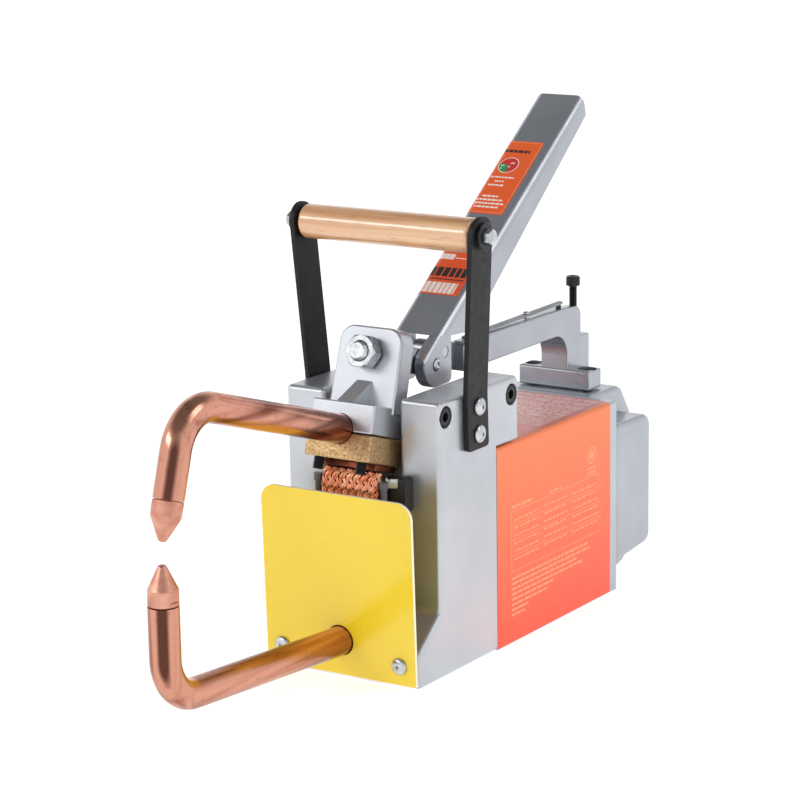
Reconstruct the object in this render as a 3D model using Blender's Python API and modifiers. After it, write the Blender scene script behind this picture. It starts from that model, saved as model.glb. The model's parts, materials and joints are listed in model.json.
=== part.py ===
"""Portable spot welder, modelled in metres with +Z up.

+X is the right side, +Y the back; the tongs point along -Y. The origin is the centre of the base's
bottom face. Sizes below are in millimetres and are scaled to metres where a mesh is made.
"""
import math

import bmesh
import bpy
from mathutils import Matrix, Vector

MM = 0.001                      # one millimetre in metres

# ---- driving dimensions (mm) -------------------------------------------------------------------
BODY_WIDTH = 98.6               # casting, cover and rear cap
HALF = BODY_WIDTH / 2
FRONT = -108.0                  # y of the casting's front face
COVER_FRONT = FRONT + 79.6
COVER_BACK = FRONT + 216.0
CAP_BACK = FRONT + 259.0
COVER_TOP = 115.0
CHEEK_TOP = 152.0
CHEEK_FRONT = FRONT + 22.0
CHEEK_BACK = FRONT + 104.0
SLOT_HALF = 24.0                # half the width between the cheeks
SHEET = 1.6                     # cover's sheet thickness
GAP = 0.3                       # clearance between touching pieces

TONG_RADIUS = 8.0
TONG_BEND = 24.0                # bend radius of a tong's centre line
LOWER_TONG_HEIGHT = 21.0
LOWER_TONG_RISE = 9.9           # how much higher the bar is at its bend than at the board
LOWER_LEG_TOP = 80.6
LOWER_TONG_REACH = FRONT - 153.8
TIP_CONE = 12.5
TIP_BODY = 8.0

TILT = math.radians(17.0)       # the rocker's nose points up by this much when the tongs are open
NOSE = (FRONT + 3.6, 136.5)     # y, z where the upper tong enters the rocker
NOSE_FACE = 2.5                 # rocker's front face, ahead of NOSE along the tong
CLAMP_HALF = 19.9
CLAMP_TOP = 14.8
CLAMP_SPLIT = -1.3              # joint between the rocker and its brass clamp block
CLAMP_BOTTOM = -16.0
PLATE_FACE = -14.6              # front of the rocker's upright plate
PLATE_THICK = 12.9
PLATE_TOP = 57.0
PLATE_FOOT_HALF = 20.8
PLATE_HEAD_HALF = 19.8
BOLT_HEIGHT = 42.6              # toggle bolt's axis above the tong's
BOLT_RADIUS = 5.0
BOLT_END = -2.4                 # bolt's end, along the tong's axis
ROCKER_PIVOT = (FRONT + 52.0, 122.0)
PIVOT_RADIUS = 5.0

FULCRUM = (FRONT + 83.4, 165.2)  # lever's pivot on the anchor arm
LEVER_ANGLE = math.radians(35.8)
LEVER_HALF = 16.0
LEVER_ROUND = 5.0
LEVER_WALL = 3.2
LEVER_FOOT = (FRONT + 76.6, 175.0)
LEVER_LENGTH = 196.4
LEVER_PIN_HALF = 14.6
EAR_INNER = 8.2
EAR_OUTER = 14.9
EAR_RADIUS = 12.5

ARM_TOP = 164.6
ARM_BOTTOM = 148.0
ARM_HALF = 9.25
ARM_FRONT = FRONT + 111.5
ARM_BACK = FRONT + 245.0

GRIP_RADIUS = 9.5
GRIP_HALF = 54.5
GRIP_AXIS = (FRONT + 52.0, 237.3)
STRAP_WIDTH = 21.0
STRAP_THICK = 3.0
STRAP_BOTTOM = 120.5
STRAP_BEND = 151.0              # height at which the straps start to lean outwards
STRAP_FOOT_Y = FRONT + 56.6


# ---- scene and materials -----------------------------------------------------------------------
for old in list(bpy.data.objects):
    bpy.data.objects.remove(old)


def collection(name):
    group = bpy.data.collections.new(name)
    bpy.context.scene.collection.children.link(group)
    return group


PARTS = collection("spot_welder")
CUTTERS = collection("cutters")


def paint(name, colour, roughness, metallic=0.0):
    material = bpy.data.materials.new(name)
    material.use_nodes = True
    shader = material.node_tree.nodes["Principled BSDF"]
    shader.inputs["Base Color"].default_value = (*colour, 1.0)
    shader.inputs["Roughness"].default_value = roughness
    shader.inputs["Metallic"].default_value = metallic
    return material


SILVER = paint("silver_paint", (0.42, 0.43, 0.45), 0.38, 0.7)
COVER_STEEL = paint("cover_steel", (0.50, 0.53, 0.55), 0.35, 0.7)
YELLOW = paint("insulating_board", (0.86, 0.66, 0.06), 0.35)
COPPER = paint("copper", (0.80, 0.42, 0.30), 0.25, 1.0)
BRAID = paint("copper_braid", (0.72, 0.36, 0.25), 0.45, 1.0)
BRASS = paint("cast_brass", (0.62, 0.45, 0.20), 0.5, 1.0)
BLACK_STEEL = paint("black_steel", (0.02, 0.02, 0.022), 0.45, 0.3)
ZINC = paint("zinc", (0.70, 0.71, 0.72), 0.22, 1.0)
WOOD = paint("beech", (0.72, 0.45, 0.24), 0.4)
PLASTIC = paint("black_plastic", (0.03, 0.03, 0.03), 0.5)
NYLON = paint("nylon", (0.85, 0.85, 0.82), 0.5)
CORE = paint("core_steel", (0.18, 0.19, 0.21), 0.5, 0.8)
WINDING = paint("enamelled_copper", (0.45, 0.16, 0.07), 0.35, 0.6)


# ---- modelling helpers -------------------------------------------------------------------------
def add_object(name, mesh, material):
    thing = bpy.data.objects.new(name, mesh)
    PARTS.objects.link(thing)
    thing.data.materials.append(material)
    return thing


def smooth(thing, angle=35.0):
    thing.data.shade_smooth()
    thing.data.set_sharp_from_angle(angle=math.radians(angle))


def from_bmesh(name, shape, material):
    bmesh.ops.scale(shape, vec=(MM, MM, MM), verts=shape.verts)
    mesh = bpy.data.meshes.new(name)
    shape.to_mesh(mesh)
    shape.free()
    return add_object(name, mesh, material)


def bevel(thing, width, segments=2, angle=40.0):
    modifier = thing.modifiers.new("edges", 'BEVEL')
    modifier.width = width * MM
    modifier.segments = segments
    modifier.limit_method = 'ANGLE'
    modifier.angle_limit = math.radians(angle)
    return thing


def box(name, low, high, material, edge=0.0, segments=1):
    """A block between two corners."""
    shape = bmesh.new()
    bmesh.ops.create_cube(shape, size=1.0)
    size = [b - a for a, b in zip(low, high)]
    centre = [(a + b) / 2 for a, b in zip(low, high)]
    bmesh.ops.scale(shape, vec=size, verts=shape.verts)
    bmesh.ops.translate(shape, vec=centre, verts=shape.verts)
    thing = from_bmesh(name, shape, material)
    return bevel(thing, edge, segments) if edge else thing


def cylinder(name, start, end, radius, material, sides=24, end_radius=None):
    """A round bar, or a cone, between two points."""
    start = Vector(start)
    end = Vector(end)
    axis = end - start
    shape = bmesh.new()
    bmesh.ops.create_cone(shape, cap_ends=True, segments=sides, radius1=radius,
                          radius2=radius if end_radius is None else end_radius, depth=axis.length)
    turn = Vector((0, 0, 1)).rotation_difference(axis).to_matrix().to_4x4()
    bmesh.ops.transform(shape, matrix=Matrix.Translation((start + end) / 2) @ turn, verts=shape.verts)
    thing = from_bmesh(name, shape, material)
    smooth(thing)
    return thing


def turned(name, profile, base, axis, material, steps=24):
    """A solid of revolution: (radius, height) pairs run down the outer side from the top's centre."""
    mesh = bpy.data.meshes.new(name)
    points = [(r * MM, 0.0, h * MM) for r, h in profile]
    mesh.from_pydata(points, [(i, i + 1) for i in range(len(points) - 1)], [])
    thing = add_object(name, mesh, material)
    thing.location = Vector(base) * MM
    thing.rotation_mode = 'QUATERNION'
    thing.rotation_quaternion = Vector((0, 0, 1)).rotation_difference(Vector(axis))
    screw = thing.modifiers.new("turn", 'SCREW')
    screw.axis = 'Z'
    screw.steps = steps
    screw.render_steps = steps
    screw.use_merge_vertices = True
    screw.merge_threshold = 0.00002
    return thing


def rounded(corners, steps=4):
    """An outline from (a, b, radius) corners, with each radius drawn as an arc."""
    points = []
    count = len(corners)
    for index, (a, b, radius) in enumerate(corners):
        here = Vector((a, b))
        if radius <= 0:
            points.append(here)
            continue
        before = (Vector(corners[index - 1][:2]) - here).normalized()
        after = (Vector(corners[(index + 1) % count][:2]) - here).normalized()
        half = before.angle(after) / 2
        centre = here + (before + after).normalized() * (radius / math.sin(half))
        first = here + before * (radius / math.tan(half)) - centre
        last = here + after * (radius / math.tan(half)) - centre
        sweep = first.angle_signed(last)
        for step in range(steps + 1):
            turn = Matrix.Rotation(-sweep * step / steps, 2)
            points.append(centre + turn @ first)
    return points


def circle(centre, radius, sides=20):
    turns = [2 * math.pi * i / sides for i in range(sides)]
    return [Vector((centre[0] + radius * math.cos(t), centre[1] + radius * math.sin(t))) for t in turns]


SIDE = Matrix(((0, 0, 1), (1, 0, 0), (0, 1, 0)))       # outline in (y, z), thickness along x
FACE = Matrix(((1, 0, 0), (0, 0, -1), (0, 1, 0)))      # outline in (x, z), thickness along y
PLAN = Matrix.Identity(3)                              # outline in (x, y), thickness along z


def flat(name, outline, middle, thickness, plane, material, holes=()):
    """A flat solid: an outline, with holes, drawn in a plane and made thick about its middle."""
    curve = bpy.data.curves.new(name, 'CURVE')
    curve.dimensions = '2D'
    curve.fill_mode = 'BOTH'
    curve.extrude = thickness / 2
    for loop in (outline, *holes):
        spline = curve.splines.new('POLY')
        spline.points.add(len(loop) - 1)
        for point, (a, b) in zip(spline.points, loop):
            point.co = (a, b, 0.0, 1.0)
        spline.use_cyclic_u = True
    guide = bpy.data.objects.new(name + "_outline", curve)
    CUTTERS.objects.link(guide)
    mesh = bpy.data.meshes.new_from_object(guide.evaluated_get(bpy.context.evaluated_depsgraph_get()))
    bpy.data.objects.remove(guide)
    shape = bmesh.new()
    shape.from_mesh(mesh)
    bmesh.ops.remove_doubles(shape, verts=shape.verts, dist=0.001)
    normal = plane @ Vector((0, 0, 1))
    place = Matrix.Translation(normal * middle) @ plane.to_4x4()
    bmesh.ops.transform(shape, matrix=place, verts=shape.verts)
    bmesh.ops.recalc_face_normals(shape, faces=shape.faces)
    return from_bmesh(name, shape, material)


def tube(name, points, radius, material, resolution=4):
    """A round bar along a line of points, with its ends closed."""
    curve = bpy.data.curves.new(name, 'CURVE')
    curve.dimensions = '3D'
    curve.bevel_depth = radius
    curve.bevel_resolution = resolution
    curve.use_fill_caps = True
    spline = curve.splines.new('POLY')
    spline.points.add(len(points) - 1)
    for point, place in zip(spline.points, points):
        point.co = (*place, 1.0)
    guide = bpy.data.objects.new(name + "_line", curve)
    CUTTERS.objects.link(guide)
    mesh = bpy.data.meshes.new_from_object(guide.evaluated_get(bpy.context.evaluated_depsgraph_get()))
    bpy.data.objects.remove(guide)
    shape = bmesh.new()
    shape.from_mesh(mesh)
    bmesh.ops.remove_doubles(shape, verts=shape.verts, dist=0.001)
    thing = from_bmesh(name, shape, material)
    smooth(thing)
    return thing


def round_edges(thing, width, segments, chosen):
    """Rounds the edges whose two ends, in millimetres, satisfy a test."""
    shape = bmesh.new()
    shape.from_mesh(thing.data)
    edges = [e for e in shape.edges if e.calc_face_angle(0.0) > 0.3
             and chosen(e.verts[0].co / MM, e.verts[1].co / MM)]
    bmesh.ops.bevel(shape, geom=edges, offset=width * MM, segments=segments, profile=0.5, affect='EDGES')
    shape.to_mesh(thing.data)
    shape.free()


def combine(target, other, operation):
    """Cuts a piece with another, or joins the other to it, and hides the other."""
    for group in list(other.users_collection):
        group.objects.unlink(other)
    CUTTERS.objects.link(other)
    other.hide_render = True
    other.display_type = 'WIRE'
    modifier = target.modifiers.new(other.name, 'BOOLEAN')
    modifier.operation = operation
    modifier.solver = 'EXACT'
    modifier.object = other


def cut(target, *others):
    for other in others:
        combine(target, other, 'DIFFERENCE')


def join(target, *others):
    for other in others:
        combine(target, other, 'UNION')


def pivot(name, place):
    """An empty on a joint's axis, to which the moving pieces are parented."""
    empty = bpy.data.objects.new(name, None)
    empty.location = Vector(place) * MM
    empty.empty_display_size = 0.02
    PARTS.objects.link(empty)
    return empty


def hang(empty, *things):
    for thing in things:
        thing.parent = empty
        thing.matrix_parent_inverse = Matrix.Translation(empty.location).inverted()


def tilted(ahead, above, x=0.0):
    """A point given along and above the upper tong's axis, as x, y, z."""
    y = NOSE[0] - ahead * math.cos(TILT) + above * math.sin(TILT)
    z = NOSE[1] + ahead * math.sin(TILT) + above * math.cos(TILT)
    return Vector((x, y, z))


def tilted_yz(ahead, above):
    return tilted(ahead, above).yz


def along_lever(distance, depth, x=0.0):
    """A point given along the lever's face from its foot, and behind that face."""
    y = LEVER_FOOT[0] + distance * math.cos(LEVER_ANGLE) + depth * math.sin(LEVER_ANGLE)
    z = LEVER_FOOT[1] + distance * math.sin(LEVER_ANGLE) - depth * math.cos(LEVER_ANGLE)
    return Vector((x, y, z))


TONG_AXIS = Vector((0, -math.cos(TILT), math.sin(TILT)))    # outwards along the upper tong
UP_AXIS = Vector((0, math.sin(TILT), math.cos(TILT)))       # square to it, upwards


ACROSS_LEVER = Matrix(((1, 0, 0), (0, -math.sin(LEVER_ANGLE), -math.cos(LEVER_ANGLE)),
                       (0, math.cos(LEVER_ANGLE), -math.sin(LEVER_ANGLE))))     # thickness down the lever


# ---- fasteners ---------------------------------------------------------------------------------
def socket_screw(name, seat, axis, head_radius, head_height, shank_radius, shank_length, key, material):
    """A socket head screw: axis points out of the head, seat is under the head."""
    top = head_height
    profile = [(0, top), (head_radius - 0.5, top), (head_radius, top - 0.5), (head_radius, 0),
               (shank_radius, 0), (shank_radius, -shank_length), (0, -shank_length)]
    screw = turned(name, profile, seat, axis, material, 16)
    axis = Vector(axis).normalized()
    seat = Vector(seat)
    hexagon = cylinder(name + "_key", seat + axis * (top * 0.45), seat + axis * (top + 1), key / math.sqrt(3),
                       material, 6)
    cut(screw, hexagon)
    return screw


def pan_screw(name, seat, axis, head_radius, head_height, shank_radius, shank_length):
    """A domed screw: axis points out of the head, seat is under the head."""
    profile = [(0, head_height), (head_radius * 0.55, head_height * 0.88), (head_radius * 0.9, head_height * 0.5),
               (head_radius, 0), (shank_radius, 0), (shank_radius, -shank_length), (0, -shank_length)]
    return turned(name, profile, seat, axis, ZINC, 16)


# ---- front casting -----------------------------------------------------------------------------
def make_front_casting():
    """Two cheeks on a base, with a slot between them, a bridge behind it and bores for the screws."""
    profile = [(FRONT, 0, 1), (COVER_FRONT - GAP, 0, 0), (COVER_FRONT - GAP, 117, 0), (CHEEK_BACK, 117, 0),
               (CHEEK_BACK, CHEEK_TOP, 3), (CHEEK_FRONT, CHEEK_TOP, 4), (CHEEK_FRONT, 37, 2), (FRONT, 20, 1)]
    thick = HALF - SLOT_HALF
    cheeks = []
    for side, label in ((-1, "left"), (1, "right")):
        cheek = flat(label + "_cheek", rounded(profile, 3), side * (HALF - thick / 2), thick, SIDE, SILVER)
        bevel(cheek, 2.4, 2, 60)
        cheeks.append(cheek)
    casting = cheeks[0]
    casting.name = "front_casting"
    bridge = box("bridge", (-SLOT_HALF - 3, FRONT + 68, 2), (SLOT_HALF + 3, COVER_FRONT - GAP - 2.6, 108), SILVER)
    floor = box("floor", (-SLOT_HALF - 3, FRONT + 3, 2.6), (SLOT_HALF + 3, COVER_FRONT - 4, 9), SILVER)
    join(casting, cheeks[1], bridge, floor)
    for side in (-1, 1):
        for y, z in CHEEK_SCREWS:
            cut(casting, cylinder("counterbore", (side * (HALF - 6), y, z), (side * (HALF + 2), y, z), 6.0, SILVER),
                cylinder("tapping", (side * (HALF - 20), y, z), (side * (HALF - 5), y, z), 3.3, SILVER, 12))
        for y, z in STRAP_SCREWS:
            cut(casting, cylinder("strap_tapping", (side * (HALF - 12), y, z), (side * (HALF + 1), y, z), 2.8,
                                  SILVER, 12))
    reach = SLOT_HALF + 11
    cut(casting, cylinder("pivot_bore", (-reach, *ROCKER_PIVOT), (reach, *ROCKER_PIVOT), 7.3, SILVER))
    for low, high in BAR_WINDOWS:
        cut(casting, box("window", (-21, FRONT + 60, low), (21, FRONT + 90, high), SILVER))
    for x, z in PLATE_SCREWS:
        cut(casting, cylinder("plate_tapping", (x, FRONT - 2, z), (x, FRONT + 12, z), 2.5, SILVER, 12))
    return casting


CHEEK_SCREWS = ((FRONT + 29.0, 143.3), (FRONT + 96.5, 142.4))
STRAP_SCREWS = ((FRONT + 56.6, 144.0), (FRONT + 56.6, 129.0))
PLATE_SCREWS = ((-38.0, 12.4), (38.0, 12.4))
BAR_WINDOWS = ((12.0, 33.0), (56.0, 72.0))


# ---- cover, base and cap -----------------------------------------------------------------------
def make_cover():
    """Folded sheet: a top and two sides, open underneath, in front and behind."""
    outer = rounded([(-HALF, 0, 0), (-HALF, COVER_TOP, 2.2), (HALF, COVER_TOP, 2.2), (HALF, 0, 0),
                     (HALF - SHEET, 0, 0), (HALF - SHEET, COVER_TOP - SHEET, 0),
                     (-HALF + SHEET, COVER_TOP - SHEET, 0), (-HALF + SHEET, 0, 0)], 3)
    length = COVER_BACK - COVER_FRONT
    return flat("cover", outer, -(COVER_FRONT + length / 2), length, FACE, COVER_STEEL)


def make_base_plate():
    inside = HALF - SHEET - GAP
    return box("base_plate", (-inside, COVER_FRONT + GAP, 0), (inside, COVER_BACK - GAP, 3), COVER_STEEL)


def make_rear_cap():
    """A hollow cap: low shoulders, a rib over its middle, and a flange that closes the cover's end."""
    shoulder = flat("rear_cap", rounded([(COVER_BACK + GAP, 16, 0), (COVER_BACK + GAP, 100, 0),
                                         (CAP_BACK, 99, 7), (CAP_BACK, 20, 7)], 4), 0, BODY_WIDTH, SIDE, SILVER)
    round_edges(shoulder, 3.0, 3, lambda a, b: abs(abs(a.x) - HALF) < 0.01 and abs(abs(b.x) - HALF) < 0.01
                and a.x * b.x > 0 and max(a.y, b.y) > COVER_BACK + 1)
    rib = flat("cap_rib", rounded([(COVER_BACK + GAP, 2, 0), (COVER_BACK + GAP, COVER_TOP, 0),
                                   (FRONT + 256, COVER_TOP - 0.6, 8), (FRONT + 268, 97, 5), (FRONT + 265, 30, 5),
                                   (FRONT + 262, 4.5, 6), (FRONT + 250, 1.5, 4)], 4), 0, 62.0, SIDE, SILVER)
    round_edges(rib, 3.0, 3, lambda a, b: abs(abs(a.x) - 31) < 0.01 and abs(abs(b.x) - 31) < 0.01
                and a.x * b.x > 0 and max(a.y, b.y) > COVER_BACK + 1)
    hollow = box("cap_hollow", (-HALF + 4, COVER_BACK - 5, 20), (HALF - 4, CAP_BACK - 5, 95), SILVER)
    recess = box("rib_hollow", (-27, COVER_BACK - 4, 24), (27, CAP_BACK + 1.5, 92), SILVER)
    inside = HALF - SHEET - GAP
    flange = box("cap_flange", (-inside, COVER_BACK - 4.5, 3 + GAP),
                 (inside, COVER_BACK + GAP + 1, COVER_TOP - SHEET - GAP), SILVER)
    join(shoulder, rib, flange)
    cut(shoulder, hollow, recess,
        cylinder("gland_hole", (GLAND[0], CAP_BACK - 10, GLAND[1]), (GLAND[0], CAP_BACK + 20, GLAND[1]), 7.0, SILVER))
    for x in (-ANCHOR_SCREW_X, ANCHOR_SCREW_X):
        cut(shoulder, cylinder("anchor_tapping", (x, ANCHOR_SCREW_Y, 100), (x, ANCHOR_SCREW_Y, 118), 2.7, SILVER, 12))
    return shoulder


GLAND = (-18.0, 45.0)           # x, z of the cord inlet in the rear cap
ANCHOR_SCREW_X = 18.2
ANCHOR_SCREW_Y = FRONT + 236.3


def make_gland():
    """A ribbed strain relief with a through bore for the cord."""
    profile = [(4.0, 16), (6.0, 16), (7.0, 6), (8.6, 5), (8.6, 1.0), (6.6, 0.6), (6.6, -6.5), (7.8, -7),
               (7.2, -9), (4.0, -9), (4.0, 16)]
    return turned("cord_gland", profile, (GLAND[0], FRONT + 266.5, GLAND[1]), (0, 1, 0), PLASTIC, 20)


# ---- front board and tongs ---------------------------------------------------------------------
def make_insulator():
    """The board between the lower tong and the casting, with its top leaning slightly forwards."""
    outline = rounded([(-48.2, 1.8, 1), (-48.2, 103.0, 9), (48.2, 103.0, 9), (48.2, 1.8, 1)], 4)
    holes = [circle((0, LOWER_TONG_HEIGHT), 8.5, 28)]
    holes += [circle(place, 2.6, 12) for place in PLATE_SCREWS]
    board = flat("insulating_board", outline, -(FRONT - 1.3), 2.0, FACE, YELLOW, holes)
    for vertex in board.data.vertices:
        vertex.co.y -= BOARD_LEAN * max(0.0, vertex.co.z - 0.014)
    return board


BOARD_LEAN = 0.038              # how far the board leans forwards for each unit of height


def bent_bar(start, corner, end, radius, steps=8):
    """Points along a bar with one round bend at the corner."""
    start, corner, end = Vector(start), Vector(corner), Vector(end)
    back = (start - corner).normalized()
    ahead = (end - corner).normalized()
    half = back.angle(ahead) / 2
    centre = corner + (back + ahead).normalized() * (radius / math.sin(half))
    first = corner + back * (radius / math.tan(half)) - centre
    axis = back.cross(ahead)
    sweep = math.pi - 2 * half
    points = [start]
    for step in range(steps + 1):
        points.append(centre + Matrix.Rotation(-sweep * step / steps, 3, axis) @ first)
    points.append(end)
    return points


def make_tip(name, base, axis):
    """A conical electrode tip, with its foot at base and its point along axis."""
    end = TIP_BODY + TIP_CONE
    profile = [(0, end), (1.7, end), (7.9, TIP_BODY), (7.9, 0.4), (7.4, 0), (0, 0)]
    return turned(name, profile, base, axis, COPPER, 28)


def make_upper_tong():
    corner = tilted(143.0, 0)
    bar = bent_bar(tilted(-32, 0), corner, corner - UP_AXIS * 47.6, TONG_BEND)
    return tube("upper_tong", bar, TONG_RADIUS, COPPER)


def make_lower_tong():
    """The lower bar: level through its holder and the board, then sloping up a little to its bend."""
    knee = (0, FRONT - 8.0, LOWER_TONG_HEIGHT)
    corner = (0, LOWER_TONG_REACH, LOWER_TONG_HEIGHT + LOWER_TONG_RISE)
    bar = bent_bar(knee, corner, (0, LOWER_TONG_REACH, LOWER_LEG_TOP), TONG_BEND)
    return tube("lower_tong", [Vector((0, FRONT + 55.5, LOWER_TONG_HEIGHT)), *bar], TONG_RADIUS, COPPER)


# ---- rocker ------------------------------------------------------------------------------------
def make_rocker():
    """The casting that holds the upper tong and turns on the cross pin between the cheeks."""
    block = flat("rocker", [tilted_yz(*p) for p in ((NOSE_FACE, CLAMP_SPLIT + GAP), (NOSE_FACE, CLAMP_TOP),
                                                    (-25, CLAMP_TOP), (-44, 9), (-44, CLAMP_SPLIT + GAP))],
                 0, CLAMP_HALF * 2, SIDE, SILVER)
    bevel(block, 0.8, 1)
    plate_outline = rounded([(-PLATE_FOOT_HALF, CLAMP_TOP - 4, 0), (-PLATE_HEAD_HALF, PLATE_TOP, 9),
                             (PLATE_HEAD_HALF, PLATE_TOP, 9), (PLATE_FOOT_HALF, CLAMP_TOP - 4, 0)], 5)
    plate = flat("rocker_plate", plate_outline, 0, PLATE_THICK, PLAN, SILVER, [circle((0, BOLT_HEIGHT), 7.0)])
    centre = tilted(PLATE_FACE - PLATE_THICK / 2, 0)
    turn = Matrix(((1, 0, 0), (0, UP_AXIS.y, -TONG_AXIS.y), (0, UP_AXIS.z, -TONG_AXIS.z))).to_4x4()
    plate.data.transform(Matrix.Translation(centre * MM) @ turn)
    bevel(plate, 1.0, 2)
    rib = flat("rocker_rib", [tilted_yz(*p) for p in ((PLATE_FACE - 3, 27.4), (PLATE_FACE, 27.4), (1.8, CLAMP_TOP),
                                                      (1.8, CLAMP_TOP - 3), (PLATE_FACE - 3, CLAMP_TOP - 3))],
               0, 10.0, SIDE, SILVER)
    hub = cylinder("rocker_hub", (-22.5, *ROCKER_PIVOT), (22.5, *ROCKER_PIVOT), 11.5, SILVER, 28)
    groove = cylinder("tong_groove", tilted(-34, 0), tilted(10, 0), TONG_RADIUS + 0.35, SILVER, 28)
    bore = cylinder("hub_bore", (-30, *ROCKER_PIVOT), (30, *ROCKER_PIVOT), 7.2, SILVER)
    join(block, plate, rib, hub)
    cut(block, groove, bore)
    for x in CLAMP_SCREWS_X:
        for ahead in CLAMP_SCREWS_AHEAD:
            cut(block, cylinder("clamp_tapping", tilted(ahead, CLAMP_SPLIT - 3, x), tilted(ahead, 11, x), 2.8,
                                SILVER, 12))
    return block


CLAMP_SCREWS_X = (-13.6, 13.6)
CLAMP_SCREWS_AHEAD = (-2.6,)


def make_clamp_block():
    """The brass half of the tong clamp, grooved for the tong and drilled for its screws."""
    points = [tilted_yz(*p) for p in ((NOSE_FACE, CLAMP_BOTTOM), (NOSE_FACE, CLAMP_SPLIT - GAP),
                                      (-31, CLAMP_SPLIT - GAP), (-31, CLAMP_BOTTOM))]
    block = flat("brass_clamp", points, 0, CLAMP_HALF * 2 + 1.0, SIDE, BRASS)
    bevel(block, 0.8, 1)
    cut(block, cylinder("brass_groove", tilted(-34, 0), tilted(10, 0), TONG_RADIUS + 0.35, BRASS, 28))
    for x in CLAMP_SCREWS_X:
        for ahead in CLAMP_SCREWS_AHEAD:
            cut(block, cylinder("clamp_hole", tilted(ahead, CLAMP_BOTTOM - 3, x), tilted(ahead, 3, x), 3.3,
                                BRASS, 12))
    return block


def make_toggle_bolt():
    """A fork-ended bolt: its fork sits on the lever's ear pin, its thread passes through the rocker's plate."""
    fork_end = tilted(EAR_AHEAD + 9.5, BOLT_HEIGHT)
    bolt = cylinder("toggle_bolt", fork_end, tilted(BOLT_END - 1.2, BOLT_HEIGHT), BOLT_RADIUS, ZINC)
    tip = cylinder("bolt_tip", tilted(BOLT_END - 2, BOLT_HEIGHT), tilted(BOLT_END, BOLT_HEIGHT),
                   BOLT_RADIUS - 0.1, ZINC, 24, 4.0)
    centre = tilted(EAR_AHEAD, BOLT_HEIGHT).yz
    toward = TONG_AXIS.yz
    square = UP_AXIS.yz
    points = [centre + toward * 14 - square * 7, centre + toward * 14 + square * 7]
    for step in range(9):
        swing = math.pi / 2 + math.pi * step / 8
        points.append(centre + toward * (7 * math.cos(swing)) + square * (7 * math.sin(swing)))
    fork = flat("fork", points, 0, 15.4, SIDE, ZINC, [circle(centre, 3.9)])
    slot = flat("fork_slot", [centre + toward * a + square * b for a, b in ((8.5, -9), (8.5, 9), (-9, 9), (-9, -9))],
                0, 7.8, SIDE, ZINC)
    shoulder = cylinder("shoulder", tilted(EAR_AHEAD + 13, BOLT_HEIGHT), tilted(PLATE_REAR - 1.7, BOLT_HEIGHT),
                        8.0, ZINC)
    cut(fork, slot)
    join(bolt, tip, fork, shoulder)
    return bolt


PLATE_REAR = PLATE_FACE - PLATE_THICK
EAR_AHEAD = -60.6               # lever's ear pin, along the tong's axis
EAR_PIN = tilted_yz(EAR_AHEAD, BOLT_HEIGHT)


def make_adjusting_nut():
    """The hexagon nut that sets the tongs' opening, with a boss that enters the plate's hole."""
    low = PLATE_FACE + 1.4
    nut = cylinder("adjusting_nut", tilted(low, BOLT_HEIGHT), tilted(low + 8.0, BOLT_HEIGHT), 17 / math.sqrt(3),
                   ZINC, 6)
    crown = turned("nut_crown", [(0, 12), (7.6, 12), (10.4, 10.2), (10.4, -2), (0, -2)],
                   tilted(low - 4.0, BOLT_HEIGHT), TONG_AXIS, ZINC, 24)
    combine(nut, crown, 'INTERSECT')
    join(nut, cylinder("nut_boss", tilted(low - 2.2, BOLT_HEIGHT), tilted(low + 1, BOLT_HEIGHT), 5.9, ZINC))
    cut(nut, cylinder("nut_bore", tilted(low - 6, BOLT_HEIGHT), tilted(low + 12, BOLT_HEIGHT), BOLT_RADIUS + 0.25,
                      ZINC))
    return nut


# ---- lever -------------------------------------------------------------------------------------
def lever_yz(distance, depth):
    return along_lever(distance, depth).yz


def along_channel(name, outline, low, high):
    """A solid drawn out along the lever from an outline in x and height above the lever's face."""
    solid = flat(name, outline, -(low + high) / 2, high - low, ACROSS_LEVER, SILVER)
    solid.data.transform(Matrix.Translation(along_lever(0, 0) * MM))
    return solid


def channel(half, top, radius):
    """The section of a channel with rounded shoulders, far deeper than the lever."""
    return rounded([(-half, top, radius), (half, top, radius), (half, -80, 0), (-half, -80, 0)], 4)


def make_lever():
    """A cast channel, open underneath, with two thick ears that carry both pivots."""
    end = LEVER_LENGTH
    outline = [lever_yz(0, 0), lever_yz(end - 0.6, 0), lever_yz(end, 0.6), lever_yz(end - 4.6, 11.2),
               Vector((FRONT + 108.0, 172.4)), Vector((FRONT + 90.0, 173.4))]
    shell = flat("lever", outline, 0, LEVER_HALF * 2, SIDE, SILVER)
    cut(shell, along_channel("lever_hollow", channel(LEVER_HALF - LEVER_WALL, -LEVER_WALL, 3.0), -30, end - 8))
    pin = Vector(EAR_PIN)
    ear_outline = [Vector((FRONT + 90.0, 176.0)), Vector(lever_yz(6, 3)), Vector(lever_yz(0.0, 0.3))]
    for step in range(9):
        swing = math.radians(140 + 130 * step / 8)
        ear_outline.append(pin + Vector((math.cos(swing), math.sin(swing))) * EAR_RADIUS)
    ear_outline += [Vector((FRONT + 87.0, 147.3)), Vector((FRONT + 90.0, 150.5))]
    ears = []
    for side, label in ((-1, "left"), (1, "right")):
        ear = flat(label + "_ear", ear_outline, side * (EAR_INNER + EAR_OUTER) / 2, EAR_OUTER - EAR_INNER,
                   SIDE, SILVER)
        ears.append(ear)
    join(shell, *ears)
    combine(shell, along_channel("lever_section", channel(LEVER_HALF, 0, LEVER_ROUND), -90, end + 20), 'INTERSECT')
    across = LEVER_HALF + 5
    cut(shell, cylinder("ear_pin_bore", (-across, *EAR_PIN), (across, *EAR_PIN), 3.7, SILVER),
        cylinder("fulcrum_bore", (-across, *FULCRUM), (across, *FULCRUM), 3.2, SILVER, 20))
    return shell


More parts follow.
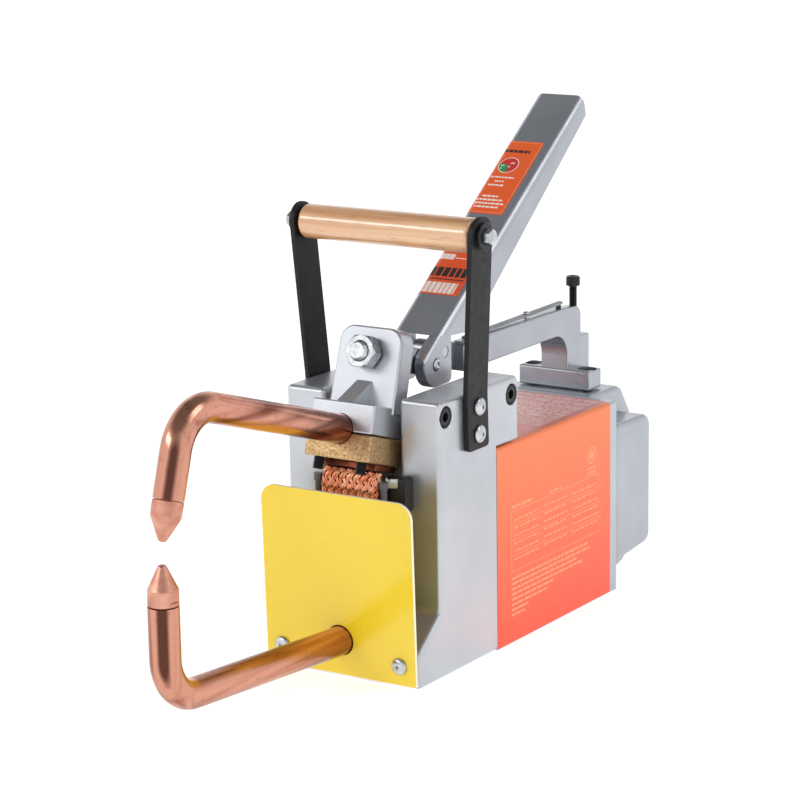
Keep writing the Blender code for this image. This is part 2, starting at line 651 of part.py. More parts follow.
def make_ear_pin():
    """The headed pin through the lever's ears and the bolt's fork."""
    reach = LEVER_PIN_HALF
    profile = [(0, reach + 1.4), (2.2, reach + 1.4), (3.3, reach + 0.9), (3.4, -reach - 0.9), (2.4, -reach - 1.4),
               (0, -reach - 1.4)]
    return turned("lever_ear_pin", profile, (0, *EAR_PIN), (1, 0, 0), ZINC, 20)


def make_fulcrum_pin():
    return cylinder("lever_fulcrum_pin", (-LEVER_PIN_HALF, *FULCRUM), (LEVER_PIN_HALF, *FULCRUM), 2.9, SILVER, 20)


# ---- anchor arm --------------------------------------------------------------------------------
def make_anchor_arm():
    """The arm that carries the lever's fulcrum, with a foot screwed down on the rear cap."""
    foot_front = FRONT + 228.5
    side = rounded([(ARM_FRONT, ARM_BOTTOM, 1), (foot_front, ARM_BOTTOM + 1, 14.0), (foot_front, COVER_TOP + 1, 0),
                    (FRONT + 255, COVER_TOP + 1, 0), (FRONT + 255, 145, 1.5), (ARM_BACK, 145, 0),
                    (ARM_BACK, 163.2, 6), (FRONT + 226, ARM_TOP, 0), (ARM_FRONT, ARM_TOP, 4)], 5)
    arm = flat("anchor_arm", side, 0, ARM_HALF * 2, SIDE, SILVER)
    bevel(arm, 1.0, 2, 50)
    foot = box("anchor_foot", (-24.2, foot_front - 0.8, COVER_TOP + GAP), (24.2, FRONT + 243, 127.0), SILVER, 1.0, 2)
    tongue = flat("anchor_tongue", [(ARM_FRONT + 3, 150), (ARM_FRONT + 3, 163.5), (FULCRUM[0] + 1.5, FULCRUM[1] + 5.6)]
                  + [(FULCRUM[0] + 5.8 * math.cos(t), FULCRUM[1] + 5.8 * math.sin(t))
                     for t in (math.radians(d) for d in range(100, 261, 20))], 0, 6.8, SIDE, SILVER)
    join(arm, foot, tongue)
    cut(arm, cylinder("tongue_bore", (-9, *FULCRUM), (9, *FULCRUM), 3.2, SILVER, 20))
    for x in (-ANCHOR_SCREW_X, ANCHOR_SCREW_X):
        cut(arm, cylinder("foot_counterbore", (x, ANCHOR_SCREW_Y, 120.5), (x, ANCHOR_SCREW_Y, 130), 5.6, SILVER),
            cylinder("foot_hole", (x, ANCHOR_SCREW_Y, 110), (x, ANCHOR_SCREW_Y, 122), 3.3, SILVER, 12))
    x, y = STOP_SCREW
    cut(arm, cylinder("stop_tapping", (x, y, STOP_TAPPING_END), (x, y, 170), 2.8, SILVER, 12))
    cut(arm, cylinder("leaf_tapping", (*LEAF_SCREW, 158), (*LEAF_SCREW, 168), 1.6, SILVER, 12),
        cylinder("button_bore", (*BUTTON, 156), (*BUTTON, 168), 1.9, SILVER, 12),
        box("side_ledge", (-12, FRONT + 90, 160.6), (LEDGE_EDGE, FRONT + 250, 170), SILVER),
        box("switch_pocket", (-12, POCKET_Y[0], POCKET_Z[0]), (7.0, POCKET_Y[1], POCKET_Z[1]), SILVER))
    return arm


STOP_SCREW = (6.0, FRONT + 240.8)
STOP_TAPPING_END = 139.0        # deep enough for the whole travel of the screw
LEDGE_EDGE = 1.7                # left of this the arm's top is a few millimetres lower
LEAF_X = 5.0
LEAF_FRONT = FRONT + 118.0
LEAF_BACK = FRONT + 229.6
LEAF_RISE = 0.0150              # slope of the trigger leaf, which is higher at the back
LEAF_PIVOT = (LEAF_X, LEAF_FRONT + 4.0, ARM_TOP + 1.2)
LEAF_SCREW = (LEAF_X, FRONT + 187.5)
BUTTON = (LEAF_X, FRONT + 225.0)
POCKET_Y = (FRONT + 211.0, FRONT + 229.0)
POCKET_Z = (151.8, 158.4)
PLUNGER_DEPTH = 1.4             # hole in the switch that the button presses into


def make_stop_screw():
    """The black screw that stops the lever and so sets the welding pressure."""
    return socket_screw("pressure_stop_screw", (STOP_SCREW[0], STOP_SCREW[1], 175.8), (0, 0, 1), 4.2, 5.6, 2.45,
                        26.0, 4.0, BLACK_STEEL)


def make_trigger_leaf():
    """A strip on top of the arm, hinged at its front end, that the lever presses down on the switch."""
    near, far = LEAF_X - 1.7, LEAF_X + 1.7
    outline = rounded([(near, LEAF_FRONT, 1), (far, LEAF_FRONT, 1), (far, LEAF_BACK - 1.5, 1.0),
                       (near, LEAF_BACK, 0.8)], 2)
    leaf = flat("trigger_leaf", outline, LEAF_PIVOT[2], 1.5, PLAN, CORE, [circle(LEAF_SCREW, 1.15, 12)])
    for vertex in leaf.data.vertices:
        vertex.co.z += LEAF_RISE * (vertex.co.y - LEAF_PIVOT[1] * MM)
    return leaf


def leaf_height(y):
    """Height of the leaf's middle at a place along it."""
    return LEAF_PIVOT[2] + LEAF_RISE * (y - LEAF_PIVOT[1])


def make_leaf_screw():
    """The small screw that keeps the leaf from lifting."""
    x, y = LEAF_SCREW
    return pan_screw("leaf_screw", (x, y, leaf_height(y) + 1.1), (0, 0, 1), 2.2, 1.2, 0.85, 6.0)


def make_switch():
    """The snap switch in the arm's side pocket."""
    low = (-8.9, POCKET_Y[0] + 0.4, POCKET_Z[0] + 0.3)
    high = (6.6, POCKET_Y[1] - 0.4, POCKET_Z[1] - 0.3)
    switch = box("weld_switch", low, high, PLASTIC, 0.4)
    floor = high[2] - PLUNGER_DEPTH
    cut(switch, cylinder("plunger_bore", (*BUTTON, floor), (*BUTTON, high[2] + 1), 1.8, PLASTIC, 12))
    return switch


def make_switch_button():
    top = leaf_height(BUTTON[1]) - 1.1
    return cylinder("switch_button", (*BUTTON, POCKET_Z[1] + 0.1), (*BUTTON, top), 1.5, PLASTIC, 12)


# ---- carrying handle ---------------------------------------------------------------------------
def make_strap(side, label):
    """A flat strap screwed to a cheek: upright at the foot, then leaning outwards to the grip."""
    foot_y, top = STRAP_FOOT_Y, GRIP_AXIS
    half = STRAP_WIDTH / 2
    outline = [(foot_y - half, STRAP_BOTTOM + 2), (foot_y - half + 2, STRAP_BOTTOM), (foot_y + half - 2, STRAP_BOTTOM),
               (foot_y + half, STRAP_BOTTOM + 2)]
    for step in range(9):
        swing = math.pi * step / 8
        outline.append((top[0] + half * math.cos(swing), top[1] + half * math.sin(swing)))
    holes = [circle(GRIP_AXIS, 3.3, 12)] + [circle(place, 2.7, 12) for place in STRAP_SCREWS]
    middle = side * (HALF + GAP + STRAP_THICK / 2)
    strap = flat(label + "_strap", outline, middle, STRAP_THICK, SIDE, BLACK_STEEL, holes)
    shape = bmesh.new()
    shape.from_mesh(strap.data)
    geometry = shape.verts[:] + shape.edges[:] + shape.faces[:]
    bmesh.ops.bisect_plane(shape, geom=geometry, plane_co=(0, 0, STRAP_BEND * MM), plane_no=(0, 0, 1))
    lean = STRAP_LEAN / (GRIP_AXIS[1] - STRAP_BEND)
    for vertex in shape.verts:
        vertex.co.x += side * lean * max(0.0, vertex.co.z - STRAP_BEND * MM)
    shape.to_mesh(strap.data)
    shape.free()
    return bevel(strap, 0.5, 1, 50)


STRAP_LEAN = 5.8                # how far the grip end of a strap stands further out than its foot


def make_grip():
    profile = [(0, GRIP_HALF), (7.0, GRIP_HALF), (8.7, GRIP_HALF - 0.7), (9.5, GRIP_HALF - 2.5),
               (9.5, 2.5 - GRIP_HALF), (8.7, 0.7 - GRIP_HALF), (7.0, -GRIP_HALF), (0, -GRIP_HALF)]
    grip = turned("wooden_grip", profile, (0, *GRIP_AXIS), (1, 0, 0), WOOD, 32)
    for side in (-1, 1):
        cut(grip, cylinder("grip_hole", (side * 30, *GRIP_AXIS), (side * 60, *GRIP_AXIS), 2.9, WOOD, 12))
    return grip


def make_grip_hardware(side, label):
    """The hexagon screw and washer that hold a strap to the grip."""
    lean = math.atan(STRAP_LEAN / (GRIP_AXIS[1] - STRAP_BEND))
    outer = side * (HALF + STRAP_LEAN + (GAP + STRAP_THICK) / math.cos(lean) + 1.6)
    profile = [(2.9, 1.0), (7.6, 1.0), (7.6, 0), (2.9, 0), (2.9, 1.0)]
    washer = turned(label + "_grip_washer", profile, (outer, *GRIP_AXIS), (side, 0, 0), BLACK_STEEL, 20)
    seat = outer + side * 1.3
    screw = cylinder(label + "_grip_screw", (seat, *GRIP_AXIS), (seat + side * 3.8, *GRIP_AXIS),
                     8.0 / math.sqrt(3), ZINC, 6)
    shank = cylinder("grip_shank", (side * 34, *GRIP_AXIS), (seat + side * 1, *GRIP_AXIS), 2.5, ZINC, 12)
    join(screw, shank)
    return washer, screw


# ---- inside the slot ---------------------------------------------------------------------------
def make_braid():
    """The flexible copper strap from the secondary up to the brass clamp: a folded ribbon."""
    points = [(FRONT + 14.0, 111.8), (FRONT + 10.6, 106), (FRONT + 10.4, 98), (FRONT + 12, 88),
              (FRONT + 16, 79), (FRONT + 23, 74.2), (FRONT + 37, 73.6)]
    thick = 3.2
    upper = [Vector(p) for p in points]
    outline = []
    for sign in (1, -1):
        run = upper if sign == 1 else upper[::-1]
        for index, point in enumerate(run):
            before = run[max(index - 1, 0)]
            after = run[min(index + 1, len(run) - 1)]
            along = (after - before).normalized()
            outline.append(point + Vector((along.y, -along.x)) * thick)
    return flat("copper_braid", outline, 0, 36.4, SIDE, BRAID)


def make_braid_lug():
    """The lug under the brass clamp that the braid is pressed into."""
    points = [tilted_yz(a, b) for a, b in ((-8.5, CLAMP_BOTTOM - GAP), (-28, CLAMP_BOTTOM - GAP),
                                           (-28, CLAMP_BOTTOM - 3.4), (-8.5, CLAMP_BOTTOM - 3.4))]
    return flat("braid_lug", points, 0, 38.0, SIDE, BRAID)


def make_clamp_screw(index, x, ahead):
    """A black socket screw that pulls the brass clamp up against the rocker."""
    seat = tilted(ahead, CLAMP_BOTTOM - 0.3, x)
    return socket_screw("clamp_screw_%d" % index, seat, -UP_AXIS, 3.1, 6.5, 2.5, 22.0, 3.0, BLACK_STEEL)


def make_lower_holder():
    """The brass block that clamps the lower tong to the transformer's lower bar."""
    holder = box("lower_tong_holder", (-22, FRONT + 34, 9.4), (22, FRONT + 57.5, 36), BRASS, 0.8)
    cut(holder, cylinder("lower_bore", (0, FRONT + 20, LOWER_TONG_HEIGHT), (0, FRONT + 56, LOWER_TONG_HEIGHT),
                         TONG_RADIUS + 0.35, BRASS, 28),
        box("lower_saw_cut", (-1, FRONT + 20, 26), (1, FRONT + 60, 40), BRASS))
    for x in (-14.0, 14.0):
        cut(holder, cylinder("holder_hole", (x, FRONT + 43, 24), (x, FRONT + 43, 40), 2.8, BRASS, 12))
    return holder


def make_terminal_bracket():
    """The black moulded block beside the braid, with a step for its hexagon bolt."""
    outline = rounded([(19.2, 88, 1), (19.2, 104.4, 0.6), (28, 104.4, 0), (28, 110.6, 1), (32.5, 110.2, 1.5),
                       (32.5, 92, 3)], 2)
    bracket = flat("terminal_bracket", outline, -BRACKET_BOLT[1], 8.0, FACE, PLASTIC)
    cut(bracket, cylinder("bracket_hole", (*BRACKET_BOLT, 88), (*BRACKET_BOLT, 120), 2.6, PLASTIC, 12))
    return bracket


BRACKET_BOLT = (23.4, FRONT + 17.6)


def make_bracket_bolt():
    head = cylinder("bracket_bolt", (*BRACKET_BOLT, 104.8), (*BRACKET_BOLT, 109.8), 8 / math.sqrt(3), ZINC, 6)
    join(head, cylinder("bracket_shank", (*BRACKET_BOLT, 89), (*BRACKET_BOLT, 106), 2.3, ZINC, 12))
    return head


def make_insulating_stud(side, label):
    """A stud in the slot's floor with a white nylon collar, which guides the braid's edge."""
    profile = [(0, 108.5), (2.4, 108.5), (2.4, 104.5), (1.8, 104.5), (1.8, 9.4), (0, 9.4)]
    return turned(label + "_insulating_stud", profile, (side * 21.2, FRONT + 10.6, 0), (0, 0, 1), NYLON, 12)


def make_return_spring():
    """The coil that lifts the rocker and opens the tongs."""
    turns, wire, radius = 6, 0.9, 5.2
    low, high = 83.0, SPRING_TOP
    points = []
    for step in range(turns * 10 + 1):
        swing = 2 * math.pi * step / 10
        points.append((radius * math.cos(swing), SPRING_Y + radius * math.sin(swing),
                       low + wire + (high - low - 2 * wire) * step / (turns * 10)))
    return tube("return_spring", points, wire, ZINC, 1)


SPRING_Y = FRONT + 58.0
SPRING_TOP = 109.5


def make_spring_seat():
    return box("spring_seat", (-9, FRONT + 42, 76.0), (9, FRONT + 67.6, 82.6), CORE, 0.6)


# ---- transformer -------------------------------------------------------------------------------
def make_core():
    """The laminated core: a rectangular ring with a middle leg, seen from the side."""
    low, high = 7.0, 107.0
    start, end = FRONT + 92.0, FRONT + 188.0
    window = 26.0
    outline = [(start, low), (end, low), (end, high), (start, high)]
    holes = []
    for centre in (start + 29.0, end - 29.0):
        holes.append([(centre - window / 2, low + 16), (centre + window / 2, low + 16),
                      (centre + window / 2, high - 16), (centre - window / 2, high - 16)])
    return flat("transformer_core", outline, 0, 40.0, SIDE, CORE, holes)


def ring(name, inner, outer, low, high, material):
    """A rectangular coil round the core's middle leg: inner and outer are half sizes in x and y."""
    centre_y = FRONT + 140.0
    outline = rounded([(-outer[0], centre_y - outer[1], 5), (outer[0], centre_y - outer[1], 5),
                       (outer[0], centre_y + outer[1], 5), (-outer[0], centre_y + outer[1], 5)], 3)
    hole = [(-inner[0], centre_y - inner[1]), (inner[0], centre_y - inner[1]), (inner[0], centre_y + inner[1]),
            (-inner[0], centre_y + inner[1])]
    return flat(name, outline, (low + high) / 2, high - low, PLAN, material, [hole])


def make_secondary(label, low, high, front):
    """A copper bar from the secondary turn through the casting's window."""
    return box(label + "_secondary_bar", (-14, FRONT + front, low), (14, FRONT + 91.5, high), COPPER, 0.6)


# ---- build -------------------------------------------------------------------------------------
def build_frame():
    make_front_casting()
    make_cover()
    make_base_plate()
    make_rear_cap()
    make_gland()
    make_insulator()
    for index, (x, z) in enumerate(PLATE_SCREWS, 1):
        pan_screw("board_screw_%d" % index, (x, FRONT - 2.6, z), (0, -1, 0), 4.6, 2.4, 2.0, 12.0)
    for side, label in ((-1, "left"), (1, "right")):
        for index, (y, z) in enumerate(CHEEK_SCREWS, 1):
            socket_screw("%s_cheek_screw_%d" % (label, index), (side * (HALF - 5.6), y, z), (side, 0, 0),
                         5.0, 5.0, 2.95, 12.0, 5.0, BLACK_STEEL)
        make_strap(side, label)
        make_grip_hardware(side, label)
        for index, (y, z) in enumerate(STRAP_SCREWS, 1):
            pan_screw("%s_strap_screw_%d" % (label, index), (side * (HALF + GAP + STRAP_THICK + 0.3), y, z),
                      (side, 0, 0), 4.9, 2.5, 2.4, 13.0)
    make_grip()


def build_inside():
    make_lower_tong()
    make_tip("lower_tip", (0, LOWER_TONG_REACH, LOWER_LEG_TOP + GAP), (0, 0, 1))
    make_lower_holder()
    make_terminal_bracket()
    make_bracket_bolt()
    make_insulating_stud(-1, "left")
    make_insulating_stud(1, "right")
    make_spring_seat()
    make_return_spring()
    make_braid()
    make_core()

    ring("primary_winding", (20.5, 15.5), (36.0, 27.5), 25.0, 64.0, WINDING)
    ring("secondary_winding", (20.5, 15.5), (36.0, 27.5), 66.0, 89.0, COPPER)
    make_secondary("lower", 14.0, 31.0, 58.0)
    make_secondary("upper", 58.5, 70.0, 26.0)


def build_anchor():
    make_anchor_arm()
    make_switch()
    for index, x in enumerate((-ANCHOR_SCREW_X, ANCHOR_SCREW_X), 1):
        socket_screw("anchor_screw_%d" % index, (x, ANCHOR_SCREW_Y, 120.9), (0, 0, 1), 4.7, 5.0, 2.45, 18.0, 4.0,
                     BLACK_STEEL)
    make_leaf_screw()


def build_moving():
    rocker = make_rocker()
    corner = tilted(143.0, 0)
    pieces = [rocker, make_clamp_block(), make_upper_tong(), make_braid_lug(),
              make_tip("upper_tip", corner - UP_AXIS * (47.6 + GAP), -UP_AXIS)]
    index = 0
    for x in CLAMP_SCREWS_X:
        for ahead in CLAMP_SCREWS_AHEAD:
            index += 1
            pieces.append(make_clamp_screw(index, x, ahead))
    hang(pivot("rocker_axis", (0, *ROCKER_PIVOT)), *pieces)
    cylinder("rocker_pivot_pin", (-SLOT_HALF - 10.5, *ROCKER_PIVOT), (SLOT_HALF + 10.5, *ROCKER_PIVOT), PIVOT_RADIUS,
             ZINC, 20)
    lever_axis = pivot("lever_axis", (0, *FULCRUM))
    hang(lever_axis, make_lever(), make_ear_pin())
    make_fulcrum_pin()
    hang(pivot("toggle_axis", (0, *EAR_PIN)), make_toggle_bolt())
    hang(pivot("nut_axis", tilted(PLATE_FACE + 5, BOLT_HEIGHT)), make_adjusting_nut())
    hang(pivot("stop_screw_axis", (STOP_SCREW[0], STOP_SCREW[1], 175.8)), make_stop_screw())
    hang(pivot("leaf_axis", LEAF_PIVOT), make_trigger_leaf())
    hang(pivot("button_axis", (*BUTTON, POCKET_Z[1])), make_switch_button())


build_frame()
build_inside()
build_anchor()
build_moving()
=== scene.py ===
"""Looks of the portable spot welder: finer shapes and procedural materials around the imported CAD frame.

Lengths in this script are millimetres; MM turns them into metres where a mesh is made. The frame has +X to
the right, +Y to the back and +Z up, with its origin at the centre of the base.
"""
import json
import math
import random

import bmesh
import bpy
from mathutils import Matrix, Vector


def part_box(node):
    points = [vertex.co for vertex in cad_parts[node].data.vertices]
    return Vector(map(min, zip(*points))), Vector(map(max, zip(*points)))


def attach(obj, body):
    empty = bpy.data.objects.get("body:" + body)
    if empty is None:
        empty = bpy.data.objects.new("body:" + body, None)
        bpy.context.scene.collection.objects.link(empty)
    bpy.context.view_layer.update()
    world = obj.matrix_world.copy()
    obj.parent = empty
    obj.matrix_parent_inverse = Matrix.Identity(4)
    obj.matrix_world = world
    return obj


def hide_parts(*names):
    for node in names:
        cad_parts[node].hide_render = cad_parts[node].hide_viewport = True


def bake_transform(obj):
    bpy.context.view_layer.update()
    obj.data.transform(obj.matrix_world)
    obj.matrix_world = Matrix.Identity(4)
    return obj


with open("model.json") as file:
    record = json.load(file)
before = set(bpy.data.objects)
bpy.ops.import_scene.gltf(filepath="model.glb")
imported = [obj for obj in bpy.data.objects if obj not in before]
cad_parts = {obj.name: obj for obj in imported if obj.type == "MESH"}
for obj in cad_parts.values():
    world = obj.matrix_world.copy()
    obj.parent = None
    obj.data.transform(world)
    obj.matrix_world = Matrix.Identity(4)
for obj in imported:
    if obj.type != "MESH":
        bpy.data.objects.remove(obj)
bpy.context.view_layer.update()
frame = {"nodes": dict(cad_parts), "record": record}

MM = 0.001
RECORD = frame["record"]
BODY_OF = {node: body for body, nodes in RECORD["behaviour"]["bodies"].items() for node in nodes}


# ---- places read from the frame ----------------------------------------------------------------
def corners(node):
    """Lowest and highest corner of a CAD node, in millimetres."""
    low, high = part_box(node)
    return Vector(low) / MM, Vector(high) / MM


def middle(node):
    low, high = corners(node)
    return (low + high) / 2


CAST_LOW, CAST_HIGH = corners("front_casting")
HALF = CAST_HIGH.x
FRONT = CAST_LOW.y
CHEEK_TOP = CAST_HIGH.z
CHEEK_BACK = CAST_HIGH.y
COVER_LOW, COVER_HIGH = corners("cover")
COVER_FRONT = COVER_LOW.y
COVER_BACK = COVER_HIGH.y
COVER_TOP = COVER_HIGH.z
CHEEK_FRONT = FRONT + 22.0
SLOT_HALF = 24.0
SHEET = 1.6
GAP = 0.3
TONG_RADIUS = 8.0
TONG_BEND = 24.0
LOWER_TONG_HEIGHT = 21.0
LOWER_TONG_RISE = 9.9
LOWER_LEG = FRONT - 153.8
LOWER_LEG_TOP = 80.6
TONG_REACH = 143.0
TILT = math.radians(17.0)
NOSE = (FRONT + 3.6, 136.5)
CLAMP_HALF = 19.9
CLAMP_TOP = 14.8
CLAMP_BOTTOM = -16.0
PLATE_FACE = -14.6
PLATE_THICK = 12.9
PLATE_TOP = 57.0
PLATE_FOOT_HALF = 20.8
PLATE_HEAD_HALF = 19.8
BOLT_HEIGHT = 42.6
BOLT_END = -2.4
EAR_AHEAD = -60.6
ROCKER_PIVOT = (FRONT + 52.0, 122.0)
FULCRUM = (FRONT + 83.4, 165.2)
LEVER_ANGLE = math.radians(35.8)
LEVER_FOOT = (FRONT + 76.6, 175.0)
LEVER_HALF = 16.0
LEVER_ROUND = 5.0
LEVER_WALL = 3.2
LEVER_LENGTH = 196.4
GRIP_AXIS = (FRONT + 52.0, 237.3)
CAP_BACK = FRONT + 259.0

TONG_AXIS = Vector((0, -math.cos(TILT), math.sin(TILT)))
UP_AXIS = Vector((0, math.sin(TILT), math.cos(TILT)))


def tilted(ahead, above, x=0.0):
    """A point along and above the upper tong's axis."""
    return Vector((x, *NOSE)) + TONG_AXIS * ahead + UP_AXIS * above


LEVER_UP = Vector((0, math.cos(LEVER_ANGLE), math.sin(LEVER_ANGLE)))
LEVER_OUT = Vector((0, -math.sin(LEVER_ANGLE), math.cos(LEVER_ANGLE)))


def on_lever(distance, depth, x=0.0):
    """A point along the lever's face from its foot, and behind that face."""
    return Vector((x, *LEVER_FOOT)) + LEVER_UP * distance - LEVER_OUT * depth


# ---- materials ---------------------------------------------------------------------------------
def linear(red, green, blue):
    """A colour given as 0 to 255 on a screen, as scene-linear values."""
    def channel(value):
        value /= 255
        return value / 12.92 if value <= 0.04045 else ((value + 0.055) / 1.055) ** 2.4
    return (channel(red), channel(green), channel(blue), 1.0)


class Surface:
    """A Principled material and the nodes that drive it, on object coordinates in metres."""

    def __init__(self, name, metallic=0.0, coat=0.0, coat_roughness=0.1, specular=0.5):
        self.material = bpy.data.materials.new(name)
        self.material.use_nodes = True
        self.tree = self.material.node_tree
        self.shader = self.tree.nodes["Principled BSDF"]
        self.shader.inputs["Metallic"].default_value = metallic
        self.shader.inputs["Coat Weight"].default_value = coat
        self.shader.inputs["Coat Roughness"].default_value = coat_roughness
        self.shader.inputs["Specular IOR Level"].default_value = specular
        self.place = self.node("ShaderNodeTexCoord").outputs["Object"]
        self.normal = None

    def node(self, kind, **values):
        made = self.tree.nodes.new(kind)
        for key, value in values.items():
            setattr(made, key, value)
        return made

    def link(self, output, target):
        self.tree.links.new(output, target)

    def stretched(self, scale):
        mapping = self.node("ShaderNodeMapping")
        mapping.inputs["Scale"].default_value = scale
        self.link(self.place, mapping.inputs["Vector"])
        return mapping.outputs["Vector"]

    def noise(self, scale, detail=3.0, stretch=(1, 1, 1), distortion=0.0):
        made = self.node("ShaderNodeTexNoise")
        made.inputs["Scale"].default_value = scale
        made.inputs["Detail"].default_value = detail
        made.inputs["Distortion"].default_value = distortion
        self.link(self.stretched(stretch), made.inputs["Vector"])
        return made.outputs["Fac"]

    def axis(self, name):
        split = self.node("ShaderNodeSeparateXYZ")
        self.link(self.place, split.inputs["Vector"])
        return split.outputs[name]

    def between(self, value, low, high, start=0.0, end=1.0):
        made = self.node("ShaderNodeMapRange")
        self.link(value, made.inputs["Value"])
        for key, number in (("From Min", low), ("From Max", high), ("To Min", start), ("To Max", end)):
            made.inputs[key].default_value = number
        return made.outputs["Result"]

    def facing(self, direction, low, high, most):
        """Rises to most where the piece's own normal points along a direction."""
        product = self.node("ShaderNodeVectorMath", operation='DOT_PRODUCT')
        self.link(self.node("ShaderNodeTexCoord").outputs["Normal"], product.inputs[0])
        product.inputs[1].default_value = direction
        return self.between(product.outputs["Value"], low, high, 0.0, most)

    def ramp(self, value, *stops):
        made = self.node("ShaderNodeValToRGB")
        elements = made.color_ramp.elements
        while len(elements) < len(stops):
            elements.new(0.5)
        for element, (position, colour) in zip(elements, stops):
            element.position = position
            element.color = colour
        self.link(value, made.inputs["Fac"])
        return made.outputs["Color"]

    def mix(self, factor, first, second):
        made = self.node("ShaderNodeMix", data_type='RGBA')
        for socket, value in ((made.inputs[0], factor), (made.inputs[6], first), (made.inputs[7], second)):
            if isinstance(value, (tuple, float)):
                socket.default_value = value
            else:
                self.link(value, socket)
        return made.outputs[2]

    def colour(self, value):
        if isinstance(value, tuple):
            self.shader.inputs["Base Color"].default_value = value
        else:
            self.link(value, self.shader.inputs["Base Color"])

    def roughness(self, value):
        if isinstance(value, float):
            self.shader.inputs["Roughness"].default_value = value
        else:
            self.link(value, self.shader.inputs["Roughness"])

    def worn(self, value, smooth, coarse):
        """Roughness that drifts from smooth to coarse with a noise."""
        self.roughness(self.between(value, 0.3, 0.7, smooth, coarse))

    def bump(self, height, distance, strength=1.0):
        """Adds a height, in millimetres from trough to crest, to the surface's normal."""
        made = self.node("ShaderNodeBump")
        made.inputs["Distance"].default_value = distance * MM
        made.inputs["Strength"].default_value = strength
        self.link(height, made.inputs["Height"])
        if self.normal:
            self.link(self.normal, made.inputs["Normal"])
        self.normal = made.outputs["Normal"]
        self.link(self.normal, self.shader.inputs["Normal"])


def surface(name, dark, light, tone, rough, bumps, spread=(0.35, 0.65), **gloss):
    """A material whose tone and roughness drift, with fine bumps.

    tone is (scale, detail, stretch or nothing) and rough is (scale, detail, smooth, coarse). Each bump is
    (scale, detail, millimetres, strength, stretch or nothing).
    """
    made = Surface(name, **gloss)
    made.colour(made.mix(made.between(made.noise(*tone), *spread), linear(*dark), linear(*light)))
    scale, detail, smooth, coarse = rough
    made.worn(made.noise(scale, detail), smooth, coarse)
    for scale, detail, height, strength, *stretch in bumps:
        made.bump(made.noise(scale, detail, *stretch), height, strength)
    return made.material


EVEN = (0.0, 1.0)      # a noise taken as it is


def cast_paint(name, dark, light, rough):
    """Satin silver paint over a casting: fine orange peel and a slow drift of tone."""
    return surface(name, dark, light, (14, 4), (60, 4, rough - 0.05, rough + 0.06),
                   ((900, 2, 0.05, 0.5), (120, 3, 0.16, 0.35)), metallic=0.8, coat=0.25, coat_roughness=0.25)


# A painted dark reflection: the side of a tong's leg that faces this way is darkened in its colour.
DARK_REFLECTION_SIDE = (0.53, -0.85, 0.05)     # the way that the dark side of a tong's leg faces


def make_copper(name, dark, light, rough, stretch, dark_reflection=0.0):
    """Polished copper with long soft streaks of tarnish, and a painted dark reflection down one side of a
    leg.
    """
    made = Surface(name, metallic=1.0)
    streak = made.noise(80, 5, stretch, 0.3)
    tone = made.mix(made.between(streak, 0.40, 0.56), linear(*dark), linear(*light))
    spots = made.between(made.noise(260, 4), 0.60, 0.72, 0.0, 0.35)
    tone = made.mix(spots, tone, linear(130, 66, 42))
    # Painted dark reflection: the colour darkens where the surface faces one side of the leg.
    if dark_reflection:
        tone = made.mix(made.facing(DARK_REFLECTION_SIDE, 0.90, 0.97, dark_reflection), tone, linear(64, 30, 24))
    made.colour(tone)
    made.worn(made.noise(90, 4, stretch), rough - 0.06, rough + 0.1)
    made.bump(made.noise(700, 2, stretch), 0.03, 0.5)
    return made.material


def make_brass():
    made = Surface("sand_cast_brass", metallic=0.9)
    grain = made.noise(800, 6)
    made.colour(made.ramp(grain, (0.30, linear(158, 124, 82)), (0.5, linear(190, 156, 112)),
                          (0.72, linear(222, 192, 150))))
    made.worn(grain, 0.52, 0.38)
    made.bump(grain, 0.2, 0.6)
    return made.material


def make_board_edge():
    made = Surface("laminate_edge")
    made.colour(made.mix(made.noise(700, 3, (1, 1, 6)), linear(236, 230, 190), linear(252, 250, 236)))
    made.roughness(0.6)
    return made.material


def make_wood():
    """Varnished beech: long grain along X with short dark flecks."""
    made = Surface("varnished_beech", coat=1.0, coat_roughness=0.12)
    made.shader.inputs["Coat IOR"].default_value = 1.9
    along = (0.055, 1, 1)
    bands = made.noise(150, 5, along, 0.8)
    tone = made.ramp(bands, (0.32, linear(176, 118, 74)), (0.5, linear(214, 160, 110)),
                     (0.68, linear(236, 192, 146)))
    fleck = made.between(made.noise(900, 2, (0.09, 1, 1)), 0.64, 0.72, 0.0, 0.65)
    made.colour(made.mix(fleck, tone, linear(128, 76, 40)))
    made.worn(bands, 0.34, 0.46)
    made.bump(made.noise(600, 3, along), 0.05, 0.35)
    return made.material


def make_plastic(name, dark, light, rough):
    return surface(name, dark, light, (60, 3), (250, 2, rough - 0.05, rough + 0.06), ((1300, 2, 0.03, 0.5),),
                   EVEN)


def make_core_steel(name, period, axis_stretch):
    """Bare steel sheet on edge: thin parallel lines."""
    made = Surface(name, metallic=0.85)
    lines = made.noise(period, 2, axis_stretch)
    made.colour(made.mix(made.between(lines, 0.35, 0.65), linear(92, 96, 100), linear(150, 154, 158)))
    made.worn(lines, 0.32, 0.5)
    made.bump(lines, 0.08, 0.5)
    return made.material


def make_enamel_wire():
    made = Surface("enamelled_wire", metallic=0.7, coat=0.4)
    turns = made.noise(900, 0, (0.02, 0.02, 1))
    made.colour(made.mix(made.between(turns, 0.4, 0.6), linear(96, 40, 20), linear(176, 88, 44)))
    made.roughness(0.3)
    made.bump(turns, 0.4, 0.8)
    return made.material


def make_label(name, top, bottom, low, high, axis="Z"):
    """A printed vinyl label whose colour shifts slowly along one axis, from bottom at low to top at high:
    painted light, paler at the top end.
    """
    made = Surface(name, coat=0.3, coat_roughness=0.2)
    # Painted light: the label's colour grows paler towards its top end.
    painted_light_fade = made.between(made.axis(axis), low * MM, high * MM)
    made.colour(made.mix(painted_light_fade, linear(*bottom), linear(*top)))
    made.worn(made.noise(120, 3), 0.35, 0.45)
    made.bump(made.noise(90, 3), 0.03, 0.35)
    return made.material


